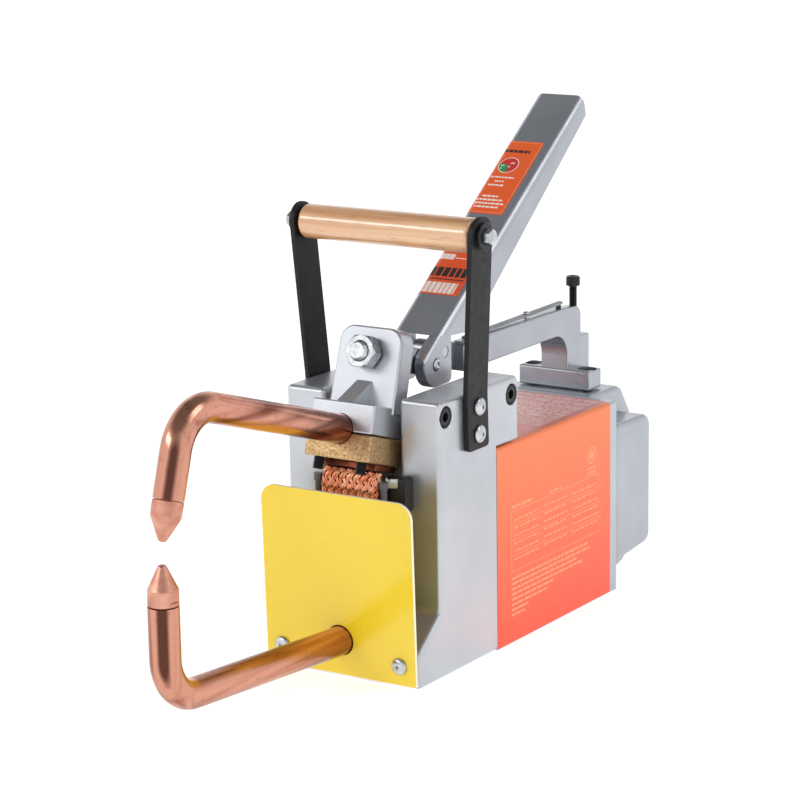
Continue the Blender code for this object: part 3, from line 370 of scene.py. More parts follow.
def make_print(name, colour):
    """Ink on a label, slightly uneven."""
    made = Surface(name)
    pale = tuple(min(255, value + 12) for value in colour)
    made.colour(made.mix(made.noise(500, 3), linear(*colour), linear(*pale)))
    made.roughness(0.5)
    return made.material


SILVER = cast_paint("silver_casting_paint", (180, 183, 189), (194, 197, 202), 0.34)
DARKER_SILVER = cast_paint("grey_silver_paint", (160, 164, 171), (174, 178, 185), 0.3)
COVER_PAINT = cast_paint("silver_sheet_paint", (168, 176, 184), (182, 190, 196), 0.34)
COPPER = make_copper("polished_copper", (128, 70, 54), (208, 148, 126), 0.2, (1, 0.05, 1))
# Copper for the tong legs, with a painted dark reflection down one side.
COPPER_UP = make_copper("polished_copper_leg", (132, 74, 58), (202, 144, 122), 0.2, (1, 1, 0.05), 0.9)
BRAID_COPPER = make_copper("bare_copper_wire", (226, 142, 106), (252, 192, 156), 0.3, (1, 1, 1))
# Copper darkened as painted shade: the braid's core, seen between its wires, and the lug in the shade under
# the clamp.
SHADE_DARK_COPPER = make_copper("shade_dark_copper", (92, 46, 30), (150, 84, 58), 0.42, (1, 1, 1))
TIP_COPPER = surface("turned_copper", (186, 126, 106), (216, 160, 138), (120, 3), (300, 2, 0.28, 0.42),
                     ((900, 1, 0.03, 0.6, (0.05, 0.05, 1)),), metallic=1.0)
BRASS = make_brass()
YELLOW = surface("yellow_laminate", (232, 200, 20), (238, 208, 36), (9, 2), (40, 3, 0.26, 0.36),
                 ((160, 2, 0.02, 0.4),), coat=0.7, coat_roughness=0.08)
BOARD_EDGE = make_board_edge()
POWDER = surface("black_powder_coat", (13, 14, 16), (23, 24, 26), (30, 3), (200, 3, 0.42, 0.55),
                 ((1100, 2, 0.05, 0.6),), EVEN, specular=0.3)
BLACK_OXIDE = surface("black_oxide_steel", (26, 26, 28), (48, 48, 52), (300, 3), (400, 3, 0.28, 0.42),
                      ((1400, 2, 0.02, 0.5),), EVEN, metallic=0.6)
ZINC = surface("bright_zinc", (170, 174, 178), (206, 209, 213), (240, 3), (500, 3, 0.2, 0.34),
               ((900, 2, 0.02, 0.5),), metallic=1.0)
WOOD = make_wood()
PLASTIC = make_plastic("black_moulding", (20, 20, 21), (34, 34, 36), 0.45)
STUD_GREY = make_plastic("grey_nylon", (84, 84, 86), (104, 104, 106), 0.4)
LAMINATIONS = make_core_steel("core_laminations", 900, (1, 0.02, 0.02))
STRIP_STEEL = make_core_steel("strip_steel", 500, (1, 0.05, 1))
ENAMEL = make_enamel_wire()
# These labels are paler at their top end than at their bottom end: painted light.
ORANGE = make_label("orange_label", (244, 118, 52), (246, 70, 18), 8, 112)
LEVER_ORANGE = make_label("lever_label", (232, 96, 26), (240, 84, 32), 190, 270)
PINK = make_label("top_label", (222, 128, 124), (232, 112, 96), 0, 100, "Y")
PALE_INK = make_print("pale_ink", (250, 150, 104))
WHITE_INK = make_print("white_ink", (238, 228, 220))
BLACK_INK = make_print("black_ink", (34, 26, 24))
RED_INK = make_print("red_ink", (196, 36, 34))
GREEN_INK = make_print("green_ink", (28, 140, 78))


# ---- modelling helpers -------------------------------------------------------------------------
RIGHT, BACK, UP = (1, 0, 0), (0, 1, 0), (0, 0, 1)
SIDE = Matrix(((0, 0, 1), (1, 0, 0), (0, 1, 0)))       # outline in (y, z), thickness along x
FACE = Matrix(((1, 0, 0), (0, 0, -1), (0, 1, 0)))      # outline in (x, z), thickness along -y
PLAN = Matrix.Identity(3)                              # outline in (x, y), thickness along z


def from_bmesh(name, shape, material):
    bmesh.ops.recalc_face_normals(shape, faces=shape.faces)
    bmesh.ops.scale(shape, vec=(MM, MM, MM), verts=shape.verts)
    mesh = bpy.data.meshes.new(name)
    shape.to_mesh(mesh)
    shape.free()
    thing = bpy.data.objects.new(name, mesh)
    bpy.context.scene.collection.objects.link(thing)
    mesh.materials.append(material)
    return thing


def settle(thing):
    """Applies a piece's modifiers to its mesh."""
    graph = bpy.context.evaluated_depsgraph_get()
    mesh = bpy.data.meshes.new_from_object(thing.evaluated_get(graph))
    thing.modifiers.clear()
    thing.data = mesh
    return thing


def shade(thing, angle=32.0):
    """Smooth shading that keeps flat faces flat and creases sharp."""
    thing.data.shade_smooth()
    thing.data.set_sharp_from_angle(angle=math.radians(angle))
    weighted = thing.modifiers.new("normals", 'WEIGHTED_NORMAL')
    weighted.keep_sharp = True
    weighted.weight = 60
    return settle(thing)


def soften(thing, width, segments=4, angle=50.0):
    """Rounds the edges that are sharper than an angle."""
    modifier = thing.modifiers.new("edges", 'BEVEL')
    modifier.width = width * MM
    modifier.segments = segments
    modifier.limit_method = 'ANGLE'
    modifier.angle_limit = math.radians(angle)
    modifier.use_clamp_overlap = True
    return settle(thing)


def combine(target, other, operation):
    modifier = target.modifiers.new("boolean", 'BOOLEAN')
    modifier.operation = operation
    modifier.solver = 'EXACT'
    modifier.object = other
    settle(target)
    bpy.data.objects.remove(other)
    weld(target)
    return target


def weld(thing):
    """Merges vertices less than two thousandths of a millimetre apart."""
    shape = bmesh.new()
    shape.from_mesh(thing.data)
    bmesh.ops.remove_doubles(shape, verts=shape.verts, dist=0.002 * MM)
    shape.to_mesh(thing.data)
    shape.free()
    return thing


def carve(target, *others):
    for other in others:
        combine(target, other, 'DIFFERENCE')
    return target


def unite(target, *others):
    for other in others:
        combine(target, other, 'UNION')
    return target


def rounded(corner_list, steps=8):
    """An outline from (a, b, radius) corners, with each radius drawn as an arc."""
    points = []
    count = len(corner_list)
    for index, (a, b, radius) in enumerate(corner_list):
        here = Vector((a, b))
        if radius <= 0:
            points.append(here)
            continue
        before = (Vector(corner_list[index - 1][:2]) - here).normalized()
        after = (Vector(corner_list[(index + 1) % count][:2]) - here).normalized()
        half = before.angle(after) / 2
        centre = here + (before + after).normalized() * (radius / math.sin(half))
        first = here + before * (radius / math.tan(half)) - centre
        last = here + after * (radius / math.tan(half)) - centre
        sweep = first.angle_signed(last)
        for step in range(steps + 1):
            points.append(centre + Matrix.Rotation(-sweep * step / steps, 2) @ first)
    return points


def rectangle(x0, y0, x1, y1, radius=0.0):
    return rounded([(x0, y0, radius), (x1, y0, radius), (x1, y1, radius), (x0, y1, radius)], 6)


def arc(centre, radius, first, last, steps):
    """Points along an arc, between two angles in degrees."""
    turns = [math.radians(first + (last - first) * step / steps) for step in range(steps + 1)]
    return [Vector(centre) + radius * Vector((math.cos(turn), math.sin(turn))) for turn in turns]


def circle(centre, radius, sides=40):
    return arc(centre, radius, 0, 360, sides)[:-1]


def add_prism(shape, outline, low, high, plane, origin=(0, 0, 0)):
    """Adds a flat solid to a mesh under construction: an outline in a plane, thick from low to high."""
    origin = Vector(origin)
    bottom = [shape.verts.new(origin + plane @ Vector((p[0], p[1], low))) for p in outline]
    top = [shape.verts.new(origin + plane @ Vector((p[0], p[1], high))) for p in outline]
    shape.faces.new(bottom[::-1])
    shape.faces.new(top)
    for index in range(len(outline)):
        after = (index + 1) % len(outline)
        shape.faces.new((bottom[index], bottom[after], top[after], top[index]))


def prism(name, outline, low, high, plane, material, origin=(0, 0, 0)):
    shape = bmesh.new()
    add_prism(shape, outline, low, high, plane, origin)
    return from_bmesh(name, shape, material)


def block(name, low, high, material, edge=0.0, segments=3):
    outline = [(low[0], low[1]), (high[0], low[1]), (high[0], high[1]), (low[0], high[1])]
    thing = prism(name, outline, low[2], high[2], PLAN, material)
    return soften(thing, edge, segments) if edge else thing


def turn_to(axis):
    """The rotation that takes +Z to an axis."""
    return Vector((0, 0, 1)).rotation_difference(Vector(axis)).to_matrix()


def skin(shape, rings):
    """Joins rings of vertices with faces, and closes both ends."""
    for first, second in zip(rings, rings[1:]):
        for i in range(len(first)):
            j = (i + 1) % len(first)
            shape.faces.new((first[i], first[j], second[j], second[i]))
    shape.faces.new(rings[0][::-1])
    shape.faces.new(rings[-1])


def lathe(name, profile, base, axis, material, steps=48):
    """A solid of revolution from (radius, height) pairs, which run from one end of the axis to the other."""
    turn = turn_to(axis)
    base = Vector(base)
    shape = bmesh.new()
    rings = []
    for radius, height in profile:
        if radius < 1e-6:
            rings.append([shape.verts.new(base + turn @ Vector((0, 0, height)))])
            continue
        rings.append([shape.verts.new(base + turn @ Vector((*point, height)))
                      for point in circle((0, 0), radius, steps)])
    for first, second in zip(rings, rings[1:]):
        for i in range(steps):
            j = (i + 1) % steps
            if len(first) == 1:
                shape.faces.new((first[0], second[j], second[i]))
            elif len(second) == 1:
                shape.faces.new((first[i], first[j], second[0]))
            else:
                shape.faces.new((first[i], first[j], second[j], second[i]))
    return from_bmesh(name, shape, material)


def rod(name, start, end, radius, material, steps=40, chamfer=0.0):
    start = Vector(start)
    end = Vector(end)
    length = (end - start).length
    profile = [(0, 0), (radius - chamfer, 0), (radius, chamfer), (radius, length - chamfer),
               (radius - chamfer, length), (0, length)]
    if not chamfer:
        profile = [(0, 0), (radius, 0), (radius, length), (0, length)]
    return lathe(name, profile, start, end - start, material, steps)


def add_tube(shape, points, radius, sides):
    """Adds a closed round tube along a line of points to a mesh under construction."""
    rings = []
    side = None
    for index, point in enumerate(points):
        along = points[min(index + 1, len(points) - 1)] - points[max(index - 1, 0)]
        along.normalize()
        if side is None:
            side = along.orthogonal()
        side = (side - along * side.dot(along)).normalized()
        up = along.cross(side)
        rings.append([shape.verts.new(point + side * a + up * b) for a, b in circle((0, 0), radius, sides)])
    skin(shape, rings)


def tube(name, points, radius, material, sides=48):
    shape = bmesh.new()
    add_tube(shape, points, radius, sides)
    return shade(from_bmesh(name, shape, material), 50)


def thread(name, base, axis, length, radius, pitch, material, sides=32):
    """A screw thread whose crest is a helix, with a chamfered end."""
    turn = turn_to(axis)
    base = Vector(base)
    depth = pitch * 0.5
    per_pitch = 8
    rows = int(length / pitch * per_pitch)
    shape = bmesh.new()
    rings = []
    for row in range(rows + 1):
        height = length * row / rows
        limit = radius - max(0.0, height - (length - depth * 1.4)) * 0.9
        ring = []
        for i in range(sides):
            phase = (height / pitch - i / sides) % 1.0
            here = min(radius - depth * abs(2 * phase - 1), limit)
            swing = 2 * math.pi * i / sides
            point = Vector((here * math.cos(swing), here * math.sin(swing), height))
            ring.append(shape.verts.new(base + turn @ point))
        rings.append(ring)
    skin(shape, rings)
    return shade(from_bmesh(name, shape, material), 28)


def hole(place, axis, low, high, radius, sides=24):
    """The cutter of a round hole, from low to high along an axis through a place."""
    place = Vector(place)
    axis = Vector(axis)
    return rod("hole", place + axis * low, place + axis * high, radius, None, sides)


def merge(name, first, *others):
    """Puts several pieces that don't need a Boolean into one object."""
    shape = bmesh.new()
    materials = []
    for thing in (first, *others):
        start = len(shape.faces)
        shape.from_mesh(thing.data)
        shape.faces.ensure_lookup_table()
        offset = len(materials)
        materials += list(thing.data.materials)
        for face in shape.faces[start:]:
            face.material_index += offset
    mesh = bpy.data.meshes.new(name)
    shape.to_mesh(mesh)
    shape.free()
    for material in materials:
        mesh.materials.append(material)
    for thing in others:
        bpy.data.objects.remove(thing)
    first.data = mesh
    first.name = name
    return first


def stand_for(thing, node):
    """A piece takes the place and the body of a CAD node, whose own mesh is hidden; the braid is left without
    a body.
    """
    thing.name = node + "_fine"
    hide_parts(node)
    if node != "copper_braid":
        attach(thing, BODY_OF[node])
    return thing


def extra(thing, body):
    """A piece that has no CAD node of its own, such as a label."""
    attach(thing, body)
    return thing


# ---- fasteners ---------------------------------------------------------------------------------
def end_of(node, axis):
    """Outer end of a screw or pin, its length and its head's radius, from its CAD box."""
    low, high = corners(node)
    axis = Vector(axis)
    index = max(range(3), key=lambda i: abs(axis[i]))
    end = (low + high) / 2
    end[index] = high[index] if axis[index] > 0 else low[index]
    size = high - low
    others = [size[i] for i in range(3) if i != index]
    return end, size[index], max(others) / 2


def cross_recess(end, axis, reach, depth):
    """The cutter of a cross-head recess: two tapering blades."""
    turn = turn_to(axis)
    blades = []
    for quarter in (0.35, 0.35 + math.pi / 2):
        shape = bmesh.new()
        bmesh.ops.create_cone(shape, cap_ends=True, segments=4, radius1=reach * 0.35, radius2=reach,
                              depth=depth + 2)
        bmesh.ops.rotate(shape, matrix=Matrix.Rotation(math.pi / 4, 3, 'Z'), verts=shape.verts)
        bmesh.ops.scale(shape, vec=(1, 0.24, 1), verts=shape.verts)
        bmesh.ops.translate(shape, vec=(0, 0, 1 - depth / 2), verts=shape.verts)
        bmesh.ops.rotate(shape, matrix=Matrix.Rotation(quarter, 3, 'Z'), verts=shape.verts)
        bmesh.ops.rotate(shape, matrix=turn, verts=shape.verts)
        bmesh.ops.translate(shape, vec=end, verts=shape.verts)
        blades.append(from_bmesh("blade", shape, ZINC))
    return blades


def fine_pan_screw(node, axis, head_height):
    """A domed cross-head screw."""
    end, length, radius = end_of(node, axis)
    profile = [(0, 0)]
    for step in range(1, 9):
        swing = step / 8 * math.pi / 2
        profile.append((radius * math.sin(swing), -head_height * 0.82 * (1 - math.cos(swing))))
    profile += [(radius, -head_height), (radius * 0.5, -head_height), (radius * 0.5, -length), (0, -length)]
    screw = lathe(node, profile[::-1], end, axis, ZINC, 40)
    carve(screw, *cross_recess(end, axis, radius * 0.62, 1.5))
    return stand_for(shade(screw), node)


def socket(end, axis, key, depth, tip):
    """The cutter of a hexagon socket, key across its flats, with a conical floor down to tip."""
    corner = key / math.sqrt(3)
    return lathe("socket", [(0, -tip), (corner, -depth), (corner, 2), (0, 2)], end, axis, BLACK_OXIDE, 6)


def fine_socket_screw(node, axis, head_height, key):
    """A black socket screw with chamfers and a conical socket."""
    end, length, radius = end_of(node, axis)
    shank = radius * 0.55
    profile = [(0, 0), (radius - 0.7, 0), (radius - 0.25, -0.18), (radius, -0.6),
               (radius, -head_height + 0.3), (radius - 0.3, -head_height), (shank, -head_height),
               (shank, -length), (0, -length)]
    screw = lathe(node, profile[::-1], end, axis, BLACK_OXIDE)
    depth = head_height * 0.55
    carve(screw, socket(end, axis, key, depth, depth + key * 0.25))
    return stand_for(shade(screw, 28), node)


def hexagon_head(name, base, axis, flats, height, material, crown=True):
    """A hexagon bolt head or nut blank with chamfered corners."""
    radius = flats / math.sqrt(3)
    head = lathe(name, [(0, 0), (radius, 0), (radius, height), (0, height)], base, axis, material, 6)
    inner = flats / 2 * 0.98
    outer = radius * 1.02
    fall = radius * 0.13
    low = 0.0 if crown else fall
    profile = [(0, -0.01), (inner + (0.0 if low else radius), -0.01), (outer, low + 0.01),
               (outer, height - fall), (inner, height + 0.01), (0, height + 0.01)]
    return combine(head, lathe("crown", profile, base, axis, material, 64), 'INTERSECT')


# ---- body --------------------------------------------------------------------------------------
CHEEK_SCREWS = [middle("right_cheek_screw_%d" % index) for index in (1, 2)]
STRAP_SCREWS = [middle("right_strap_screw_%d" % index) for index in (1, 2)]
BOARD_SCREWS = [middle("board_screw_%d" % index) for index in (1, 2)]
ANCHOR_SCREWS = [middle("anchor_screw_%d" % index) for index in (1, 2)]
COVER_SEAT = 117.0
COVER_FOLD = 2.2


def make_casting():
    """Two soft-edged cheeks on a base, with the slot between them and its bores."""
    profile = [(FRONT, 0), (CHEEK_BACK, 0), (CHEEK_BACK, CHEEK_TOP), (CHEEK_FRONT, CHEEK_TOP),
               (CHEEK_FRONT, 37), (FRONT, 20)]
    cheeks = []
    for low, high in ((-HALF, -SLOT_HALF), (SLOT_HALF, HALF)):
        cheek = soften(prism("cheek", profile, low, high, SIDE, SILVER), 2.8, 6, 50)
        step = block("step", (low - 5, COVER_FRONT - 0.3, -5), (high + 5, CHEEK_BACK + 5, COVER_SEAT), SILVER)
        cheeks.append(carve(cheek, step))
    inside = SLOT_HALF + 4
    bridge = block("bridge", (-inside, FRONT + 68, 3), (inside, COVER_FRONT - 3, 108), SILVER)
    under = SLOT_HALF + 2.5
    floor = block("floor", (-under, FRONT + 4.7, 2.4), (under, COVER_FRONT - 5, 9), SILVER)
    casting = unite(bridge, floor, *cheeks)
    for side in (-1, 1):
        across = (side, 0, 0)
        for place in CHEEK_SCREWS:
            bore = lathe("counterbore", [(0, 0), (6.0, 0), (6.0, 5.6), (6.7, 6.1), (6.7, 9), (0, 9)],
                         (side * (HALF - 6), *place.yz), across, SILVER, 48)
            carve(casting, bore, hole((0, *place.yz), across, HALF - 20, HALF - 5, 3.2))
        for place in STRAP_SCREWS:
            carve(casting, hole((0, *place.yz), across, HALF - 12, HALF + 2, 2.7))
    reach = SLOT_HALF + 11
    carve(casting, hole((0, *ROCKER_PIVOT), RIGHT, -reach, reach, 7.3, 40))
    for low, high in ((12.0, 33.0), (56.0, 72.0)):
        carve(casting, block("window", (-21, FRONT + 60, low), (21, FRONT + 90, high), SILVER))
    for place in BOARD_SCREWS:
        carve(casting, hole((place.x, FRONT, place.z), BACK, -2, 12, 2.4))
    return stand_for(shade(casting), "front_casting")


def make_cover():
    """The folded sheet cover, open below and at both ends."""
    inner = HALF - SHEET
    under = COVER_TOP - SHEET
    section = rounded([(-HALF, 0, 0), (-HALF, COVER_TOP, COVER_FOLD), (HALF, COVER_TOP, COVER_FOLD),
                       (HALF, 0, 0), (inner, 0, 0), (inner, under, 0.8), (-inner, under, 0.8),
                       (-inner, 0, 0)], 8)
    cover = prism("cover", section, -COVER_BACK, -COVER_FRONT, FACE, COVER_PAINT)
    return stand_for(shade(soften(cover, 0.3, 2, 60)), "cover")


LABEL_GAP = 0.02
LABEL_LIFT = 0.12
LABEL_LOW = 0.6
LABEL_FOLD = 3.4
INK = 0.03
LABEL_BACK = FRONT + 208.3
LABEL_FRONT = COVER_FRONT + 0.25


def make_side_label(side, name):
    """Orange vinyl over a whole side of the cover, folded on to its top."""
    centre = (HALF - COVER_FOLD, COVER_TOP - COVER_FOLD)
    outline = [(HALF + LABEL_LIFT, LABEL_LOW), *arc(centre, COVER_FOLD + LABEL_LIFT, 0, 90, 8),
               (HALF - LABEL_FOLD, COVER_TOP + LABEL_LIFT), (HALF - LABEL_FOLD, COVER_TOP + LABEL_GAP),
               *arc(centre, COVER_FOLD + LABEL_GAP, 90, 0, 8), (HALF + LABEL_GAP, LABEL_LOW)]
    outline = [(side * x, z) for x, z in outline]
    label = prism(name, outline, -LABEL_BACK, -LABEL_FRONT, FACE, ORANGE)
    return extra(shade(label, 40), "frame")


def bars(name, rows, plane, origin, lift, material, seed, gap=0.9, word=(2.0, 7.0)):
    """Rows of short dashes that stand for print: each row is (start, end, level, height)."""
    chance = random.Random(seed)
    shape = bmesh.new()
    for start, end, level, height in rows:
        place = start
        while place < end - 0.6:
            length = min(chance.uniform(*word), end - place)
            outline = [(place, level), (place + length, level), (place + length, level + height),
                       (place, level + height)]
            add_prism(shape, outline, lift, lift + INK, plane, origin)
            place += length + gap
    return from_bmesh(name, shape, material)


def frame_line(name, x0, y0, x1, y1, width, plane, origin, lift, material):
    """A thin printed border."""
    shape = bmesh.new()
    for sides in ((x0, y0, x1, y0 + width), (x0, y1 - width, x1, y1),
                  (x0, y0 + width, x0 + width, y1 - width), (x1 - width, y0 + width, x1, y1 - width)):
        add_prism(shape, rectangle(*sides), lift, lift + INK, plane, origin)
    return from_bmesh(name, shape, material)


def make_side_print(side, name):
    """A faint table and some lines on a side label, with no lettering."""
    plane = SIDE if side > 0 else Matrix(((0, 0, -1), (-1, 0, 0), (0, 1, 0)))
    origin = (side * (HALF + LABEL_LIFT), 0, 0)
    left, right = sorted(side * (FRONT + reach) for reach in (95, 196))
    table = frame_line(name, left, 41, right, 76, 0.35, plane, origin, 0.0, PALE_INK)
    rows = [(left + 1, left + 24, 77.5, 1.6), (left + 42, left + 55, 77.0, 1.2)]
    for level in (70, 65.5, 61, 56.5, 52, 47.5):
        rows += [(left + 3, left + 30, level, 1.0), (left + 36, left + 62, level + 0.5, 1.0),
                 (left + 68, left + 98, level, 1.0)]
    text = bars(name + "_text", rows, plane, origin, 0.0, PALE_INK, 5, 1.4, (1.6, 5.0))
    rules = bars(name + "_rules", [(left, left + 101, level, 0.25) for level in (68, 59, 50)], plane, origin,
                 0.0, PALE_INK, 6, 0.0, (200, 201))
    notes = [(left, left + length, 36.5 - 3.0 * index, 1.3)
             for index, length in enumerate((86, 88, 74, 80, 46, 40, 18, 14))]
    foot = bars(name + "_notes", notes, plane, origin, 0.0, PALE_INK, 7, 0.9, (2.5, 8.0))
    centre = (side * (FRONT + 186), 88.5)
    ring = prism(name + "_ring", circle(centre, 5.0), 0.0, INK, plane, PALE_INK, origin)
    carve(ring, prism("ring_cut", circle(centre, 4.1), -1, 1, plane, PALE_INK, origin))
    mark = prism(name + "_mark", circle(centre, 2.4), 0.0, INK, plane, PALE_INK, origin)
    stamp = bars(name + "_stamp", [(centre[0] - 5, centre[0] + 5, level, 1.2) for level in (80.5, 78, 75.8)],
                 plane, origin, 0.0, PALE_INK, 8, 0.7, (2.0, 4.0))
    return extra(merge(name, table, text, rules, foot, ring, mark, stamp), "frame")


def make_top_label():
    """A pinkish label on the cover's top with close wavy hatching."""
    top = COVER_TOP + LABEL_LIFT
    half = HALF - 4.0
    outline = rectangle(-half, CHEEK_BACK + 0.5, half, FRONT + 211, 1.0)
    label = prism("top_label", outline, COVER_TOP + LABEL_GAP, top, PLAN, PINK)
    chance = random.Random(11)
    shape = bmesh.new()
    for index in range(30):
        y = CHEEK_BACK + 34 + index * 2.35
        height = chance.uniform(0.5, 1.3)
        x = -half + 4
        while x < half - 4:
            length = chance.uniform(3, 13)
            end = min(x + length, half - 3)
            add_prism(shape, rectangle(x, y, end, y + height), 0.0, INK, PLAN, (0, 0, top))
            x = end + chance.uniform(0.6, 2.4)
    hatch = from_bmesh("top_label_hatching", shape, WHITE_INK)
    extra(merge("top_label", label, hatch), "frame")


def make_cap():
    """The rear cap: low shoulders, a rib over its middle, and a flange that closes the cover's end."""
    start = COVER_BACK + GAP
    outline = rounded([(start, 16, 0), (start, 100, 0), (CAP_BACK, 99, 7), (CAP_BACK, 20, 7)], 8)
    shoulder = soften(prism("cap", outline, -HALF, HALF, SIDE, DARKER_SILVER), 3.2, 5, 50)
    outline = rounded([(start, 2, 0), (start, COVER_TOP, 0), (FRONT + 256, COVER_TOP - 0.6, 8),
                       (FRONT + 268, 97, 5), (FRONT + 265, 30, 5), (FRONT + 262, 4.5, 6),
                       (FRONT + 250, 1.5, 4)], 8)
    rib = soften(prism("rib", outline, -31, 31, SIDE, DARKER_SILVER), 3.4, 5, 50)
    inside = HALF - SHEET - GAP
    flange = block("flange", (-inside, COVER_BACK - 4.5, 3 + GAP),
                   (inside, start + 1, COVER_TOP - SHEET - GAP), DARKER_SILVER, 0.5, 2)
    cap = unite(shoulder, rib, flange)
    gland = middle("cord_gland")
    carve(cap, block("hollow", (-HALF + 4, COVER_BACK - 5, 20), (HALF - 4, CAP_BACK - 5, 95), DARKER_SILVER),
          block("rib_hollow", (-27, COVER_BACK - 4, 24), (27, CAP_BACK + 1.5, 92), DARKER_SILVER),
          hole((gland.x, CAP_BACK, gland.z), BACK, -10, 20, 7.0, 40))
    for place in ANCHOR_SCREWS:
        carve(cap, hole((*place.xy, 0), UP, 100, 118, 2.6))
    return stand_for(shade(cap), "rear_cap")


def make_gland():
    """Ribbed strain relief with a bore for the cord."""
    centre = middle("cord_gland")
    end = corners("cord_gland")[1].y
    profile = [(4.0, 0), (5.7, 0), (6.1, -0.4)]
    for index in range(5):
        start = -1.2 - index * 1.8
        radius = 6.15 + 0.18 * index
        root = radius - 0.7
        profile += [(radius, start), (root, start - 0.25), (root, start - 0.95), (radius, start - 1.2)]
    profile += [(8.2, -10.8), (8.6, -11.3), (8.6, -14.6), (8.2, -15.0), (6.6, -15.4), (6.6, -22.5),
                (7.6, -23.0), (7.0, -25.0), (4.0, -25.0), (4.0, 0)]
    gland = lathe("gland", profile[::-1], (centre.x, end, centre.z), BACK, PLASTIC, 48)
    return stand_for(shade(weld(gland)), "cord_gland")


BOARD_LEAN = 0.038
BOARD_HALF = 48.2
BOARD_LOW = 1.8
BOARD_HIGH = 103.0


def make_board_piece():
    """The front board: rounded corners, a hole for the lower tong, pale sawn edges and a slight lean."""
    half, low, high = BOARD_HALF, BOARD_LOW, BOARD_HIGH
    outline = rounded([(-half, low, 1), (-half, high, 9), (half, high, 9), (half, low, 1)], 12)
    board = prism("board", outline, -(FRONT - 0.3), -(FRONT - 2.3), FACE, YELLOW)
    board.data.materials.append(BOARD_EDGE)
    carve(board, hole((0, FRONT, LOWER_TONG_HEIGHT), BACK, -10, 10, 8.5, 64))
    for place in BOARD_SCREWS:
        carve(board, hole((place.x, FRONT, place.z), BACK, -10, 10, 2.6))
    board = soften(board, 0.25, 2, 60)
    for face in board.data.polygons:
        face.material_index = 0 if abs(face.normal.y) > 0.9 else 1
    for vertex in board.data.vertices:
        vertex.co.y -= BOARD_LEAN * max(0.0, vertex.co.z - 0.014)
    return stand_for(shade(board, 40), "insulating_board")


# ---- tongs -------------------------------------------------------------------------------------
def bent_bar(start, corner, end, radius, steps=24):
    """Points along a bar with one round bend at the corner."""
    start, corner, end = Vector(start), Vector(corner), Vector(end)
    back = (start - corner).normalized()
    ahead = (end - corner).normalized()
    half = back.angle(ahead) / 2
    centre = corner + (back + ahead).normalized() * (radius / math.sin(half))
    first = corner + back * (radius / math.tan(half)) - centre
    axis = back.cross(ahead)
    sweep = math.pi - 2 * half
    points = [start + (corner + back * (radius / math.tan(half)) - start) * step / 6 for step in range(6)]
    for step in range(steps + 1):
        points.append(centre + Matrix.Rotation(-sweep * step / steps, 3, axis) @ first)
    last = points[-1]
    points += [last + (end - last) * step / 4 for step in range(1, 5)]
    return points


def paint_leg(thing, limit):
    """Gives the faces of a tong in front of limit the material whose streaks run along the leg, with its
    painted dark reflection.
    """
    thing.data.materials.append(COPPER_UP)
    for face in thing.data.polygons:
        if face.center.y / MM < limit:
            face.material_index = 1


def make_tip(node, axis):
    """A turned electrode tip: a short body with two wrench flats, and a cone with a small flat end."""
    if node == "lower_tip":
        foot = Vector((0, LOWER_LEG, corners(node)[0].z))
    else:
        foot = tilted(TONG_REACH, 0) - UP_AXIS * 47.9
    profile = [(0, 0), (7.4, 0), (7.75, 0.35), (7.9, 0.8), *arc((5.7, 7.6), 2.2, 0, 32, 5),
               (2.3, 19.6), (1.9, 20.2), (1.3, 20.5), (0, 20.5)]
    tip = lathe(node, profile, foot, axis, TIP_COPPER, 64)
    turn = turn_to(axis)
    for side in (-1, 1):
        shape = bmesh.new()
        add_prism(shape, rectangle(-12, -12, 12, 12), 2.2, 8.8, turn, foot)
        flat = from_bmesh("flat", shape, TIP_COPPER)
        sideways = turn @ Vector((side, 0, 0))
        flat.data.transform(Matrix.Translation(sideways * (6.9 + 12) * MM))
        carve(tip, flat)
    return stand_for(shade(soften(tip, 0.12, 1, 50), 34), node)


def make_tongs():
    corner = tilted(TONG_REACH, 0)
    upper = bent_bar(tilted(-32, 0), corner, corner - UP_AXIS * 47.6, TONG_BEND)
    knee = (0, FRONT - 8.0, LOWER_TONG_HEIGHT)
    corner = (0, LOWER_LEG, LOWER_TONG_HEIGHT + LOWER_TONG_RISE)
    lower = [Vector((0, FRONT + 55.5, LOWER_TONG_HEIGHT)),
             *bent_bar(knee, corner, (0, LOWER_LEG, LOWER_LEG_TOP), TONG_BEND)]
    for node, points, limit in (("upper_tong", upper, FRONT - 133.0),
                                ("lower_tong", lower, LOWER_LEG + 12.0)):
        tong = tube(node, points, TONG_RADIUS, COPPER)
        paint_leg(tong, limit)
        stand_for(tong, node)
    make_tip("lower_tip", UP)
    make_tip("upper_tip", -UP_AXIS)


# ---- rocker ------------------------------------------------------------------------------------
TONG_GROOVE = TONG_RADIUS + 0.3
CLAMP_SCREW_AHEAD = -2.6
CLAMP_SCREWS = [middle("clamp_screw_%d" % index).x for index in (1, 2)]
TILTED_PLAN = Matrix((Vector((1, 0, 0)), UP_AXIS, -TONG_AXIS)).transposed()


def tilted_outline(*places):
    """An outline in (y, z) from (ahead, above) pairs."""
    return [tilted(*place).yz for place in places]


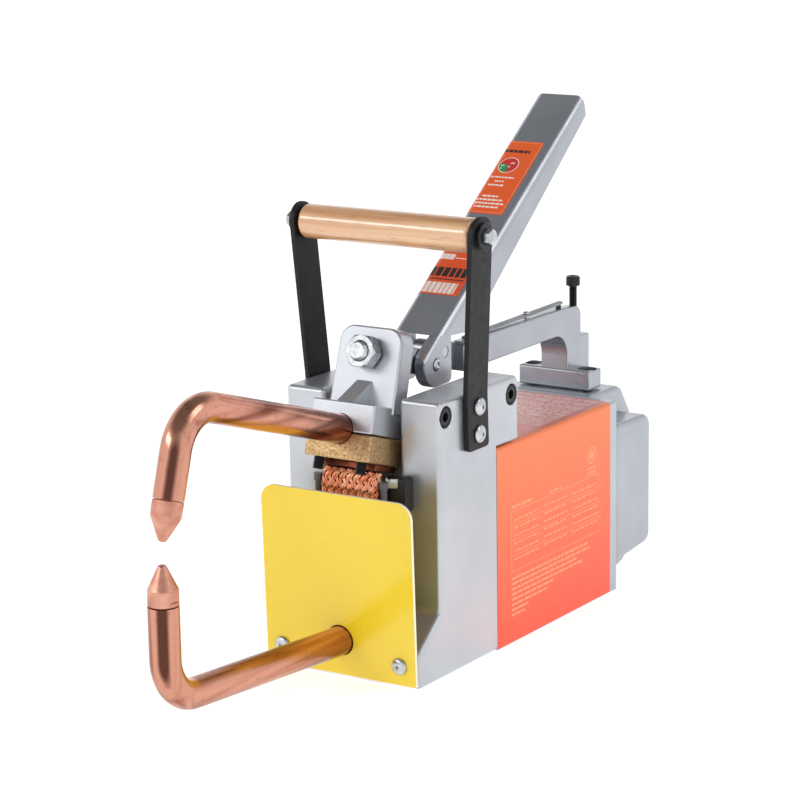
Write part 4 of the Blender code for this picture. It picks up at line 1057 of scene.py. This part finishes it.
def make_rocker():
    outline = tilted_outline((2.5, -1), (2.5, CLAMP_TOP), (-25, CLAMP_TOP), (-44, 9), (-44, -1))
    body = soften(prism("rocker", outline, -CLAMP_HALF, CLAMP_HALF, SIDE, SILVER), 1.1, 3, 20)
    foot, head = PLATE_FOOT_HALF, PLATE_HEAD_HALF
    outline = rounded([(-foot, CLAMP_TOP - 4, 0), (-head, PLATE_TOP, 9), (head, PLATE_TOP, 9),
                       (foot, CLAMP_TOP - 4, 0)], 12)
    plate = prism("plate", outline, -PLATE_THICK / 2, PLATE_THICK / 2, TILTED_PLAN, SILVER,
                  tilted(PLATE_FACE - PLATE_THICK / 2, 0))
    plate = soften(plate, 1.4, 4, 50)
    low = CLAMP_TOP - 3
    outline = tilted_outline((PLATE_FACE - 3, 27.6), (PLATE_FACE, 27.6), (1.9, CLAMP_TOP), (1.9, low),
                             (PLATE_FACE - 3, low))
    rib = soften(prism("rib", outline, -5.2, 5.2, SIDE, SILVER), 0.7, 2, 50)
    hub = rod("hub", (-22.5, *ROCKER_PIVOT), (22.5, *ROCKER_PIVOT), 11.5, SILVER, 48, 0.8)
    unite(body, plate, rib, hub)
    carve(body, hole(tilted(0, 0), TONG_AXIS, -34, 10, TONG_GROOVE, 64),
          hole((0, *ROCKER_PIVOT), RIGHT, -30, 30, 7.2, 48),
          hole(tilted(PLATE_FACE, BOLT_HEIGHT), TONG_AXIS, -20, 5, 7.0, 48))
    for x in CLAMP_SCREWS:
        carve(body, hole(tilted(CLAMP_SCREW_AHEAD, 0, x), UP_AXIS, -5, 11.5, 2.7))
    return stand_for(shade(body), "rocker")


def make_clamp():
    """The sand-cast brass half of the tong clamp."""
    outline = tilted_outline((2.5, CLAMP_BOTTOM), (2.5, -1.6), (-31, -1.6), (-31, CLAMP_BOTTOM))
    half = CLAMP_HALF + 0.5
    clamp = soften(prism("clamp", outline, -half, half, SIDE, BRASS), 0.9, 3, 50)
    carve(clamp, hole(tilted(0, 0), TONG_AXIS, -34, 10, TONG_GROOVE, 64))
    for x in CLAMP_SCREWS:
        carve(clamp, hole(tilted(CLAMP_SCREW_AHEAD, 0, x), UP_AXIS, CLAMP_BOTTOM - 3, 3, 3.3))
    return stand_for(shade(clamp), "brass_clamp")


def make_clamp_screws():
    """The black threaded ends that stand out under the brass clamp, each with a small hexagon socket."""
    for index, x in enumerate(CLAMP_SCREWS, 1):
        seat = tilted(CLAMP_SCREW_AHEAD, CLAMP_BOTTOM - 0.3, x)
        length = 6.5
        end = seat - UP_AXIS * length
        shank = rod("shank", end + UP_AXIS * 0.5, end + UP_AXIS * (length + 22.0), 2.45, BLACK_OXIDE, 32)
        ridge = thread("thread", seat, -UP_AXIS, length, 3.05, 1.0, BLACK_OXIDE, 32)
        carve(ridge, socket(end, -UP_AXIS, 3.0, 2.4, 3.0))
        stand_for(merge("clamp_screw", shade(ridge, 28), shank), "clamp_screw_%d" % index)


def knurled_profile(radius, head, shank):
    """Profile of a socket screw from the end of its shank to the top of its head."""
    end = -head - shank
    return [(0, end), (2.3, end), (2.45, end + 0.4), (2.45, -head), (radius - 0.2, -head),
            (radius, -head + 0.3), (radius, -head * 0.5), (radius, -0.9), (radius - 0.35, -0.35),
            (radius - 0.7, 0), (0, 0)]


def knurl(thing, end, axis, radius, head, count):
    """Presses straight grooves into a screw's head."""
    axis = Vector(axis).normalized()
    first = axis.orthogonal().normalized()
    second = axis.cross(first)
    for vertex in thing.data.vertices:
        offset = vertex.co / MM - end
        depth = -offset.dot(axis)
        spoke = offset + axis * depth
        if -0.01 < depth < head - 0.2 and abs(spoke.length - radius) < 0.02:
            swing = math.atan2(spoke.dot(second), spoke.dot(first))
            vertex.co -= spoke.normalized() * (0.22 * (0.5 + 0.5 * math.cos(swing * count))) * MM


# ---- toggle bolt and nut -----------------------------------------------------------------------
def make_toggle_bolt():
    """Fork, shoulder and threaded end of the bolt."""
    plate_rear = PLATE_FACE - PLATE_THICK
    ear = Vector((EAR_AHEAD, BOLT_HEIGHT))
    outline = [(14, -7), (14, 7), *arc((0, 0), 7, 90, 270, 20)]
    fork = prism("fork", tilted_outline(*(ear + Vector(p) for p in outline)), -7.7, 7.7, SIDE, ZINC)
    fork = soften(fork, 0.5, 2, 50)
    outline = [(8.5, -9), (8.5, 9), (-9, 9), (-9, -9)]
    slot = prism("slot", tilted_outline(*(ear + Vector(p) for p in outline)), -3.9, 3.9, SIDE, ZINC)
    carve(fork, slot, hole(tilted(*ear), RIGHT, -9, 9, 3.9, 40))
    shoulder = rod("shoulder", tilted(EAR_AHEAD + 13, BOLT_HEIGHT), tilted(plate_rear - 1.7, BOLT_HEIGHT),
                   8.0, ZINC, 48, 0.5)
    shank = rod("shank", tilted(EAR_AHEAD + 9.5, BOLT_HEIGHT), tilted(-14.0, BOLT_HEIGHT), 4.7, ZINC)
    unite(fork, shoulder, shank)
    fork = shade(fork)
    ridge = thread("thread", tilted(plate_rear, BOLT_HEIGHT), TONG_AXIS, BOLT_END - plate_rear, 5.0, 1.25,
                   ZINC, 48)
    return stand_for(merge("bolt", fork, ridge), "toggle_bolt")


def make_nut():
    low = PLATE_FACE + 1.4
    base = tilted(low, BOLT_HEIGHT)
    nut = hexagon_head("nut", base, TONG_AXIS, 17.0, 8.0, ZINC, crown=False)
    nut = soften(nut, 0.2, 2, 45)
    unite(nut, rod("boss", tilted(low - 2.2, BOLT_HEIGHT), tilted(low + 1, BOLT_HEIGHT), 5.9, ZINC, 48, 0.3))
    bore = lathe("bore", [(0, -4), (5.25, -4), (5.25, 7.3), (6.2, 8.3), (0, 8.3)], base, TONG_AXIS, ZINC, 48)
    carve(nut, bore)
    return stand_for(shade(nut, 25), "adjusting_nut")


# ---- lever -------------------------------------------------------------------------------------
LEVER_FACE = Matrix((Vector((1, 0, 0)), LEVER_UP, LEVER_OUT)).transposed()
ACROSS_LEVER = Matrix((Vector((1, 0, 0)), LEVER_OUT, -LEVER_UP)).transposed()
EAR_PIN = tilted(EAR_AHEAD, BOLT_HEIGHT).yz
EAR_RADIUS = 12.5


def along_channel(name, half, top, radius, low, high):
    """A bar drawn out along the lever: rounded shoulders, half as wide as half, and very deep."""
    outline = rounded([(-half, top, radius), (half, top, radius), (half, -80, 0), (-half, -80, 0)], 12)
    return prism(name, outline, -high, -low, ACROSS_LEVER, DARKER_SILVER, on_lever(0, 0))


def within_lever(thing):
    """Trims a piece to the lever's rounded section."""
    section = along_channel("section", LEVER_HALF, 0, LEVER_ROUND, -90, LEVER_LENGTH + 20)
    return combine(thing, section, 'INTERSECT')


def make_lever():
    """The cast channel with its long edges well rounded, its closed end and its two ears."""
    end = LEVER_LENGTH
    outline = [on_lever(0, 0).yz, on_lever(end, 0).yz, on_lever(end - 4.6, 11.2).yz, (FRONT + 108.0, 172.4),
               (FRONT + 90.0, 173.4)]
    shell = within_lever(prism("lever", outline, -LEVER_HALF, LEVER_HALF, SIDE, DARKER_SILVER))
    shell = soften(shell, 0.7, 3, 50)
    carve(shell, along_channel("hollow", LEVER_HALF - LEVER_WALL, -LEVER_WALL, 3.0, -30, end - 8))
    outline = [(FRONT + 90.0, 176.0), on_lever(6, 3).yz, on_lever(0.0, 0.3).yz,
               *arc(EAR_PIN, EAR_RADIUS, 140, 270, 20),
               (FRONT + 87.0, 147.3), (FRONT + 89.2, 148.4), (FRONT + 90.0, 150.5)]
    for low, high in ((-14.9, -8.2), (8.2, 14.9)):
        ear = soften(prism("ear", outline, low, high, SIDE, DARKER_SILVER), 0.8, 3, 50)
        unite(shell, within_lever(ear))
    for place, radius in ((EAR_PIN, 3.7), (FULCRUM, 3.2)):
        carve(shell, hole((0, *place), RIGHT, -LEVER_HALF - 5, LEVER_HALF + 5, radius, 40))
    return stand_for(shade(shell, 30), "lever")


def wrap_round_shoulders(thing):
    """Bends a label's margins round the lever's rounded edges."""
    flat_half = LEVER_HALF - LEVER_ROUND
    foot = on_lever(0, 0)
    shape = bmesh.new()
    shape.from_mesh(thing.data)
    for side in (-1, 1):
        for step in range(5):
            bmesh.ops.bisect_plane(shape, geom=[*shape.verts, *shape.edges, *shape.faces],
                                   plane_co=(side * (flat_half + step * 0.9) * MM, 0, 0), plane_no=(1, 0, 0))
    for vertex in shape.verts:
        point = vertex.co / MM
        over = abs(point.x) - flat_half
        if over > 0:
            height = (point - foot).dot(LEVER_OUT)
            swing = over / LEVER_ROUND
            radius = LEVER_ROUND + height
            point.x = math.copysign(flat_half + radius * math.sin(swing), point.x)
            vertex.co = (point + LEVER_OUT * (radius * math.cos(swing) - radius)) * MM
    shape.to_mesh(thing.data)
    shape.free()
    return thing


def make_lever_labels():
    """Two orange labels over the lever's face and shoulders, with a two-colour dial and rows of bars."""
    origin = on_lever(0, 0)
    lift = 0.14
    plane = LEVER_FACE
    pieces = [prism("label", rectangle(*sides, 0.8), LABEL_GAP, lift, plane, LEVER_ORANGE, origin)
              for sides in ((-14.4, 95, 9.2, 155), (-15.2, 30.4, 11.6, 74.5))]
    pieces.append(frame_line("border", -13.7, 96.0, 8.5, 154.2, 0.35, plane, origin, lift, PALE_INK))
    centre = (-5.3, 134.8)
    pieces.append(prism("ring", circle(centre, 6.35), lift, lift + INK, plane, WHITE_INK, origin))
    for first, last, ink in ((165, 275, GREEN_INK), (-85, 165, RED_INK)):
        sector = [centre, *arc(centre, 5.9, first, last, 24)]
        pieces.append(prism("sector", sector, lift + INK, lift + 2 * INK, plane, ink, origin))
    marks = [(-4.4, -1.2, 136.0, 1.0), (-4.8, -3.0, 133.2, 0.8), (-10.0, -7.8, 133.8, 0.9),
             (-9.4, -8.0, 131.6, 0.8)]
    pieces.append(bars("dial_marks", marks, plane, origin, lift + 2 * INK, WHITE_INK, 3, 0.3, (0.8, 1.4)))
    notes = [(-12.4, 3.0, 124.2, 1.1), (-8.1, -2.2, 120.9, 1.0), (-11.0, 0.0, 117.5, 1.3),
             (-10.2, 0.7, 108.4, 1.3), (-13.2, 4.1, 105.5, 1.3), (-13.0, 7.2, 102.6, 1.3),
             (-11.8, 4.8, 99.7, 1.3)]
    boxes = [(-14.4, -4.2, 57.4, 4.2), (-3.4, 9.4, 58.4, 0.7)]
    for rows, ink, seed, gap, word in (([(-13.6, 3.6, 145.4, 2.2)], BLACK_INK, 9, 0.6, (2.0, 3.6)),
                                       (notes, WHITE_INK, 4, 0.5, (1.0, 2.8)),
                                       ([(-14.4, 11.0, 44.2, 7.0)], BLACK_INK, 12, 0.9, (2.8, 4.0)),
                                       ([(-12.4, 10.4, 41.6, 1.0)], BLACK_INK, 13, 0.4, (1.0, 2.2)),
                                       ([(-14.6, 8.2, 31.4, 8.2)], WHITE_INK, 14, 0.6, (2.0, 3.0)),
                                       (boxes, WHITE_INK, 15, 0.3, (2.4, 4.0))):
        pieces.append(bars("print", rows, plane, origin, lift, ink, seed, gap, word))
    return extra(wrap_round_shoulders(merge("lever_labels", *pieces)), "lever_group")


def make_lever_pins():
    """The domed ear pin and the flush fulcrum pin."""
    low, high = corners("lever_ear_pin")
    reach = (high.x - low.x) / 2
    profile = [(3.4 * x, 1.2 * (1 + z) - reach) for x, z in arc((0, 0), 1, -90, 0, 6)]
    profile += [(3.4, reach - 1.3), (3.2, reach - 0.6), (2.4, reach - 0.1), (1.7, reach), (1.2, reach - 0.5),
                (0, reach - 0.7)]
    stand_for(shade(lathe("pin", profile, (0, *EAR_PIN), RIGHT, ZINC, 40)), "lever_ear_pin")
    reach = corners("lever_fulcrum_pin")[1].x
    across = Vector((reach, 0, 0))
    place = Vector((0, *FULCRUM))
    stand_for(shade(rod("pin", place - across, place + across, 3.1, SILVER, 40, 0.2)), "lever_fulcrum_pin")


# ---- anchor arm --------------------------------------------------------------------------------
ARM_HALF = 9.25
ARM_TOP = 164.6
ARM_FRONT = FRONT + 111.5
ARM_FOOT_FRONT = FRONT + 228.5
LEDGE_EDGE = 1.7
STOP_TRAVEL_END = 139.0


def make_anchor_arm():
    """The arm with its foot, its tongue under the lever, its ledge and its bores."""
    outline = rounded([(ARM_FRONT, 148, 1), (ARM_FOOT_FRONT, 149, 14), (ARM_FOOT_FRONT, 116, 0),
                       (FRONT + 255, 116, 0), (FRONT + 255, 145, 1.5), (FRONT + 245, 145, 0),
                       (FRONT + 245, 163.2, 6), (FRONT + 226, ARM_TOP, 0), (ARM_FRONT, ARM_TOP, 4)], 10)
    arm = soften(prism("arm", outline, -ARM_HALF, ARM_HALF, SIDE, DARKER_SILVER), 1.1, 3, 50)
    foot = block("foot", (-24.2, ARM_FOOT_FRONT - 0.8, COVER_TOP + 0.3), (24.2, FRONT + 243, 127.0),
                 DARKER_SILVER, 1.3, 4)
    tongue = [(ARM_FRONT + 3, 150), (ARM_FRONT + 3, 163.5), (FULCRUM[0] + 1.5, FULCRUM[1] + 5.6),
              *arc(FULCRUM, 5.8, 100, 260, 16)]
    unite(arm, foot, soften(prism("tongue", tongue, -3.4, 3.4, SIDE, DARKER_SILVER), 0.5, 2, 50))
    stop = middle("pressure_stop_screw")
    button = middle("switch_button")
    leaf = middle("leaf_screw")
    carve(arm, hole((0, *FULCRUM), RIGHT, -9, 9, 3.2, 40),
          hole((*stop.xy, 0), UP, STOP_TRAVEL_END, 170, 2.8, 40),
          hole((*leaf.xy, 0), UP, 158, 168, 1.6),
          hole((*button.xy, 0), UP, 156, 168, 1.9),
          block("ledge", (-12, FRONT + 90, 160.6), (LEDGE_EDGE, FRONT + 250, 170), DARKER_SILVER),
          block("pocket", (-12, FRONT + 211, 151.8), (7.0, FRONT + 229, 158.4), DARKER_SILVER))
    for place in ANCHOR_SCREWS:
        carve(arm, hole((*place.xy, 0), UP, 120.5, 130, 5.6, 48), hole((*place.xy, 0), UP, 110, 122, 3.3, 32))
    return stand_for(shade(arm), "anchor_arm")


def make_stop_screw():
    """A knurled socket screw whose thread shows above the arm."""
    low, high = corners("pressure_stop_screw")
    end = middle("pressure_stop_screw")
    end.z = high.z
    up = Vector(UP)
    head = 5.6
    radius = (high.x - low.x) / 2
    screw = lathe("stop", knurled_profile(radius, head, 1.0), end, up, BLACK_OXIDE, 72)
    knurl(screw, end, up, radius, head, 24)
    carve(screw, socket(end, up, 4.0, 3.0, 3.8))
    seat = end - up * head
    ridge = thread("thread", seat, -up, seat.z - low.z, 2.45, 0.8, BLACK_OXIDE, 28)
    return stand_for(merge("stop", shade(screw, 30), ridge), "pressure_stop_screw")


LEAF_RISE = 0.0150


def make_trigger_leaf():
    """The strip on the arm that presses the switch."""
    low, high = corners("trigger_leaf")
    screw = middle("leaf_screw")
    pivot = low.y + 4.0
    level = ARM_TOP + 1.2
    outline = rounded([(low.x, low.y, 1), (high.x, low.y, 1), (high.x, high.y - 1.5, 1),
                       (low.x, high.y, 0.8)], 5)
    leaf = prism("leaf", outline, level - 0.75, level + 0.75, PLAN, STRIP_STEEL)
    carve(leaf, hole((*screw.xy, level), UP, -3, 3, 1.15))
    leaf = soften(leaf, 0.2, 2, 50)
    for vertex in leaf.data.vertices:
        vertex.co.z += LEAF_RISE * (vertex.co.y - pivot * MM)
    return stand_for(shade(leaf), "trigger_leaf")


# ---- carrying handle ---------------------------------------------------------------------------
STRAP_BEND = 151.0
STRAP_LEAN = 5.8
STRAP_BOTTOM = 120.5
STRAP_THICK = 3.0
BEND_REACH = 4.0


def lean_at(height):
    """How far a strap stands out at a height, for a slope of one: a short round bend, then straight."""
    past = height - (STRAP_BEND - BEND_REACH)
    if past <= 0:
        return 0.0
    if past < 2 * BEND_REACH:
        return past * past / (4 * BEND_REACH)
    return past - BEND_REACH


def make_strap(side, label):
    foot_y = middle("right_strap_screw_1").y
    half = 10.5
    outline = rounded([(foot_y - half, STRAP_BOTTOM, 2.5), (foot_y + half, STRAP_BOTTOM, 2.5),
                       (GRIP_AXIS[0] + half, GRIP_AXIS[1], 0),
                       (GRIP_AXIS[0] - half, GRIP_AXIS[1], 0)], 6)[:-2]
    outline += arc(GRIP_AXIS, half, 0, 180, 32)
    inner = HALF + 0.3
    low, high = sorted((side * inner, side * (inner + STRAP_THICK)))
    strap = prism("strap", outline, low, high, SIDE, POWDER)
    for place, radius in ((GRIP_AXIS, 3.3), *((screw.yz, 2.7) for screw in STRAP_SCREWS)):
        carve(strap, hole((side * inner, *place), (side, 0, 0), -20, 20, radius, 32))
    strap = soften(strap, 0.55, 3, 50)
    shape = bmesh.new()
    shape.from_mesh(strap.data)
    for step in range(9):
        level = (STRAP_BEND + BEND_REACH * (step / 4 - 1)) * MM
        geometry = shape.verts[:] + shape.edges[:] + shape.faces[:]
        bmesh.ops.bisect_plane(shape, geom=geometry, plane_co=(0, 0, level), plane_no=(0, 0, 1))
    slope = STRAP_LEAN / (GRIP_AXIS[1] - STRAP_BEND)
    for vertex in shape.verts:
        vertex.co.x += side * slope * lean_at(vertex.co.z / MM) * MM
    shape.to_mesh(strap.data)
    shape.free()
    return stand_for(shade(strap, 25), label + "_strap")


def make_grip():
    """The turned wooden grip with round shoulders."""
    high = corners("wooden_grip")[1].x
    radius = 9.5
    shoulder = 2.6
    half = [(0, high), *arc((radius - shoulder, high - shoulder), shoulder, 90, 0, 8)]
    profile = [(r, -x) for r, x in half] + [(r, x) for r, x in half[::-1]]
    grip = lathe("grip", profile, (0, *GRIP_AXIS), RIGHT, WOOD, 72)
    for side in (-1, 1):
        carve(grip, hole((0, *GRIP_AXIS), (side, 0, 0), 30, 60, 2.9, 32))
    return stand_for(shade(grip), "wooden_grip")


def make_grip_hardware(side, label):
    """A black washer with a raised rim and a bright hexagon screw at one end of the grip."""
    low, high = corners(label + "_grip_washer")
    seat = low.x if side > 0 else high.x
    thick = high.x - low.x
    radius = (high.z - low.z) / 2
    ring = [(2.9, 0), (radius - 0.2, 0), (radius, 0.2), (radius, thick - 0.35), (radius - 0.4, thick),
            (2.9, thick), (2.9, 0)]
    washer = lathe("washer", ring, (seat, *GRIP_AXIS), (side, 0, 0), BLACK_OXIDE, 56)
    stand_for(shade(weld(washer)), label + "_grip_washer")
    low, high = corners(label + "_grip_screw")
    outer = high.x if side > 0 else low.x
    inner = low.x if side > 0 else high.x
    head = 3.8
    seat = outer - side * head
    screw = hexagon_head("screw", (seat, *GRIP_AXIS), (side, 0, 0), 8.0, head, ZINC)
    screw = soften(screw, 0.15, 2, 45)
    unite(screw, rod("shank", (inner, *GRIP_AXIS), (seat + side * 0.5, *GRIP_AXIS), 2.5, ZINC, 32))
    stand_for(shade(screw, 25), label + "_grip_screw")


# ---- inside the slot ---------------------------------------------------------------------------
BRAID_LINE = [(FRONT + 14.0, 111.8), (FRONT + 10.6, 106), (FRONT + 10.4, 98), (FRONT + 12, 88),
              (FRONT + 16, 79), (FRONT + 23, 74.2), (FRONT + 37, 73.6)]
BRAID_HALF = 18.2
STRANDS = 16
WIRES = 3
WIRE_RADIUS = 0.55
WEAVE_LIFT = 0.4
WEAVE_CROWN = 0.3
WEAVE_PITCH = 1.5
BRAID_SHELL = 1.9


def smooth_line(points, steps):
    """A smooth curve through points, as evenly spaced samples."""
    points = [Vector(p) for p in points]
    fine = []
    ends = [2 * points[0] - points[1]] + points + [2 * points[-1] - points[-2]]
    for a, b, c, d in zip(ends, ends[1:], ends[2:], ends[3:]):
        for step in range(20):
            t = step / 20
            fine.append(0.5 * (2 * b + (c - a) * t + (2 * a - 5 * b + 4 * c - d) * t * t
                               + (3 * b - a - 3 * c + d) * t * t * t))
    fine.append(points[-1])
    lengths = [0.0]
    for first, second in zip(fine, fine[1:]):
        lengths.append(lengths[-1] + (second - first).length)
    samples = []
    index = 0
    for step in range(steps + 1):
        target = lengths[-1] * step / steps
        while index < len(lengths) - 2 and lengths[index + 1] < target:
            index += 1
        span = lengths[index + 1] - lengths[index]
        samples.append(fine[index].lerp(fine[index + 1], (target - lengths[index]) / span))
    return samples, lengths[-1]


def around(turn, lift):
    """A place on the braid's flat oval section, from a share of its perimeter: (across, outward)."""
    flat = 2 * (BRAID_HALF - BRAID_SHELL - 0.9)
    arc = math.pi * BRAID_SHELL
    place = (turn % 1.0) * 2 * (flat + arc)
    reach = BRAID_SHELL + lift
    if place < flat:
        return place - flat / 2, reach
    place -= flat
    if place < arc:
        swing = math.pi / 2 - place / BRAID_SHELL
        return flat / 2 + reach * math.cos(swing), reach * math.sin(swing)
    place -= arc
    if place < flat:
        return flat / 2 - place, -reach
    swing = -math.pi / 2 - (place - flat) / BRAID_SHELL
    return -flat / 2 + reach * math.cos(swing), reach * math.sin(swing)


def make_braid():
    """Woven copper strap: strands of fine wires that pass over and under each other, round a solid core."""
    steps = 64
    line, length = smooth_line(BRAID_LINE, steps)
    normals = []
    for index in range(steps + 1):
        along = (line[min(index + 1, steps)] - line[max(index - 1, 0)]).normalized()
        normals.append(Vector((along.y, -along.x)))
    perimeter = 4 * (BRAID_HALF - BRAID_SHELL - 0.9) + 2 * math.pi * BRAID_SHELL
    shape = bmesh.new()
    for hand in (1, -1):
        for strand in range(STRANDS):
            for wire in range(WIRES):
                points = []
                beside = wire - (WIRES - 1) / 2
                shift = beside * 2.1 * WIRE_RADIUS / perimeter
                crown = WEAVE_CROWN * (1 - abs(beside))
                for index in range(steps + 1):
                    share = length * index / steps / perimeter / WEAVE_PITCH
                    lift = crown + hand * WEAVE_LIFT * math.cos(2 * math.pi * STRANDS * share)
                    across, out = around(hand * share + strand / STRANDS + shift, lift)
                    place = line[index] + normals[index] * out
                    points.append(Vector((across, place.x, place.y)))
                add_tube(shape, points, WIRE_RADIUS, 8)
    braid = from_bmesh("braid", shape, BRAID_COPPER)
    braid.data.shade_smooth()
    core = []
    for sign in (1, -1):
        for index in (range(steps + 1) if sign > 0 else range(steps, -1, -1)):
            core.append(line[index] + normals[index] * (sign * (BRAID_SHELL - 0.9)))
    half = BRAID_HALF - BRAID_SHELL - 0.4
    # The core's dark copper is painted shade in the gaps between the wires.
    braid = merge("braid", braid, prism("core", core, -half, half, SIDE, SHADE_DARK_COPPER))
    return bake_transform(stand_for(braid, "copper_braid"))


def make_braid_lug():
    top, bottom = CLAMP_BOTTOM - 0.3, CLAMP_BOTTOM - 3.4
    outline = tilted_outline((-8.5, top), (-28, top), (-28, bottom), (-8.5, bottom))
    # The lug's dark copper is painted shade under the clamp.
    lug = soften(prism("lug", outline, -19.0, 19.0, SIDE, SHADE_DARK_COPPER), 0.5, 3, 50)
    return stand_for(shade(lug), "braid_lug")


def make_return_spring():
    low, high = corners("return_spring")
    wire = 0.9
    turns = 6
    steps = turns * 28
    bottom, top = low.z + wire, high.z - wire
    points = [Vector((*place, bottom + (top - bottom) * step / steps))
              for step, place in enumerate(arc((0, FRONT + 58.0), 5.2, 0, 360 * turns, steps))]
    return stand_for(tube("spring", points, wire, ZINC, 12), "return_spring")


# ---- everything --------------------------------------------------------------------------------
make_casting()
make_cover()
for side, label in ((1, "right"), (-1, "left")):
    make_side_label(side, label + "_side_label")
    make_side_print(side, label + "_side_print")
    make_strap(side, label)
    make_grip_hardware(side, label)
    for index in (1, 2):
        fine_socket_screw("%s_cheek_screw_%d" % (label, index), (side, 0, 0), 5.0, 5.0)
        fine_pan_screw("%s_strap_screw_%d" % (label, index), (side, 0, 0), 2.5)
for make in (make_top_label, make_cap, make_gland, make_board_piece):
    make()
for index in (1, 2):
    fine_pan_screw("board_screw_%d" % index, (0, -1, 0), 2.4)
    fine_socket_screw("anchor_screw_%d" % index, UP, 5.0, 4.0)
fine_pan_screw("leaf_screw", UP, 1.2)
for make in (make_tongs, make_rocker, make_clamp, make_clamp_screws, make_toggle_bolt, make_nut,
             make_lever, make_lever_labels, make_lever_pins, make_anchor_arm, make_stop_screw,
             make_trigger_leaf, make_grip, make_braid, make_braid_lug, make_return_spring):
    make()

KEPT = ((COVER_PAINT, "base_plate"), (PLASTIC, "terminal_bracket", "weld_switch", "switch_button"),
        (ZINC, "bracket_bolt", "rocker_pivot_pin"),
        (STUD_GREY, "left_insulating_stud", "right_insulating_stud"), (STRIP_STEEL, "spring_seat"),
        (BRASS, "lower_tong_holder"), (LAMINATIONS, "transformer_core"), (ENAMEL, "primary_winding"),
        (COPPER, "secondary_winding", "lower_secondary_bar", "upper_secondary_bar"))
for material, *nodes in KEPT:
    for node in nodes:
        mesh = frame["nodes"][node].data
        mesh.materials.clear()
        mesh.materials.append(material)


# ---- floor, light and camera -------------------------------------------------------------------
def make_floor():
    made = Surface("pale_floor")
    made.colour(linear(250, 250, 250))
    made.roughness(0.9)
    made.shader.inputs["Emission Color"].default_value = (1, 1, 1, 1)
    made.shader.inputs["Emission Strength"].default_value = 0.55
    prism("floor", rectangle(-6000, -6000, 6000, 6000), -2.0, 0.0, PLAN, made.material)


def make_world():
    """White studio: paper below, a soft box overhead with greyer bands between them."""
    world = bpy.data.worlds.new("studio")
    bpy.context.scene.world = world
    world.use_nodes = True
    tree = world.node_tree
    place = tree.nodes.new("ShaderNodeTexCoord")
    split = tree.nodes.new("ShaderNodeSeparateXYZ")
    ramp = tree.nodes.new("ShaderNodeValToRGB")
    shift = tree.nodes.new("ShaderNodeMapRange")
    shift.inputs["From Min"].default_value = -1.0
    tree.links.new(place.outputs["Generated"], split.inputs["Vector"])
    tree.links.new(split.outputs["Z"], shift.inputs["Value"])
    tree.links.new(shift.outputs["Result"], ramp.inputs["Fac"])
    tree.links.new(ramp.outputs["Color"], tree.nodes["Background"].inputs["Color"])
    tree.nodes["Background"].inputs["Strength"].default_value = 1.2
    stops = ((0.0, 0.8), (0.49, 0.8), (0.52, 0.95), (0.66, 0.95), (0.76, 0.72), (0.87, 0.2), (1.0, 0.2))
    elements = ramp.color_ramp.elements
    while len(elements) < len(stops):
        elements.new(0.5)
    for element, (position, level) in zip(elements, stops):
        element.position = position
        element.color = (level, level, level * 1.01, 1.0)


def add_light(name, place, target, size, power, height=None):
    data = bpy.data.lights.new(name, 'AREA')
    data.shape = 'RECTANGLE'
    data.size = size
    data.size_y = height or size
    data.energy = power
    light = bpy.data.objects.new(name, data)
    bpy.context.scene.collection.objects.link(light)
    light.location = place
    light.rotation_euler = (Vector(target) - Vector(place)).to_track_quat('-Z', 'Y').to_euler()


FOCAL_LENGTH = 124.155


def make_camera():
    right = Vector((0.838, 0.545, -0.015)).normalized()
    back = Vector((0.534, -0.815, 0.223))
    back = (back - right * back.dot(right)).normalized()
    up = back.cross(right)
    data = bpy.data.cameras.new("camera")
    data.sensor_width = 36.0
    data.lens = FOCAL_LENGTH
    data.clip_end = 10.0
    camera = bpy.data.objects.new("camera", data)
    bpy.context.scene.collection.objects.link(camera)
    turn = Matrix((right, up, back)).transposed().to_4x4()
    camera.matrix_world = Matrix.Translation((0.8060, -1.2782, 0.4776)) @ turn
    bpy.context.scene.camera = camera


bpy.context.scene.view_settings.view_transform = 'Standard'
make_floor()
make_world()
add_light("key", (-0.8, -1.22, 0.88), (0, -0.05, 0.2), 1.1, 4.2, 0.28)
add_light("fill", (1.1, 0.25, 1.4), (0, 0, 0.2), 0.8, 5.0)
make_camera()
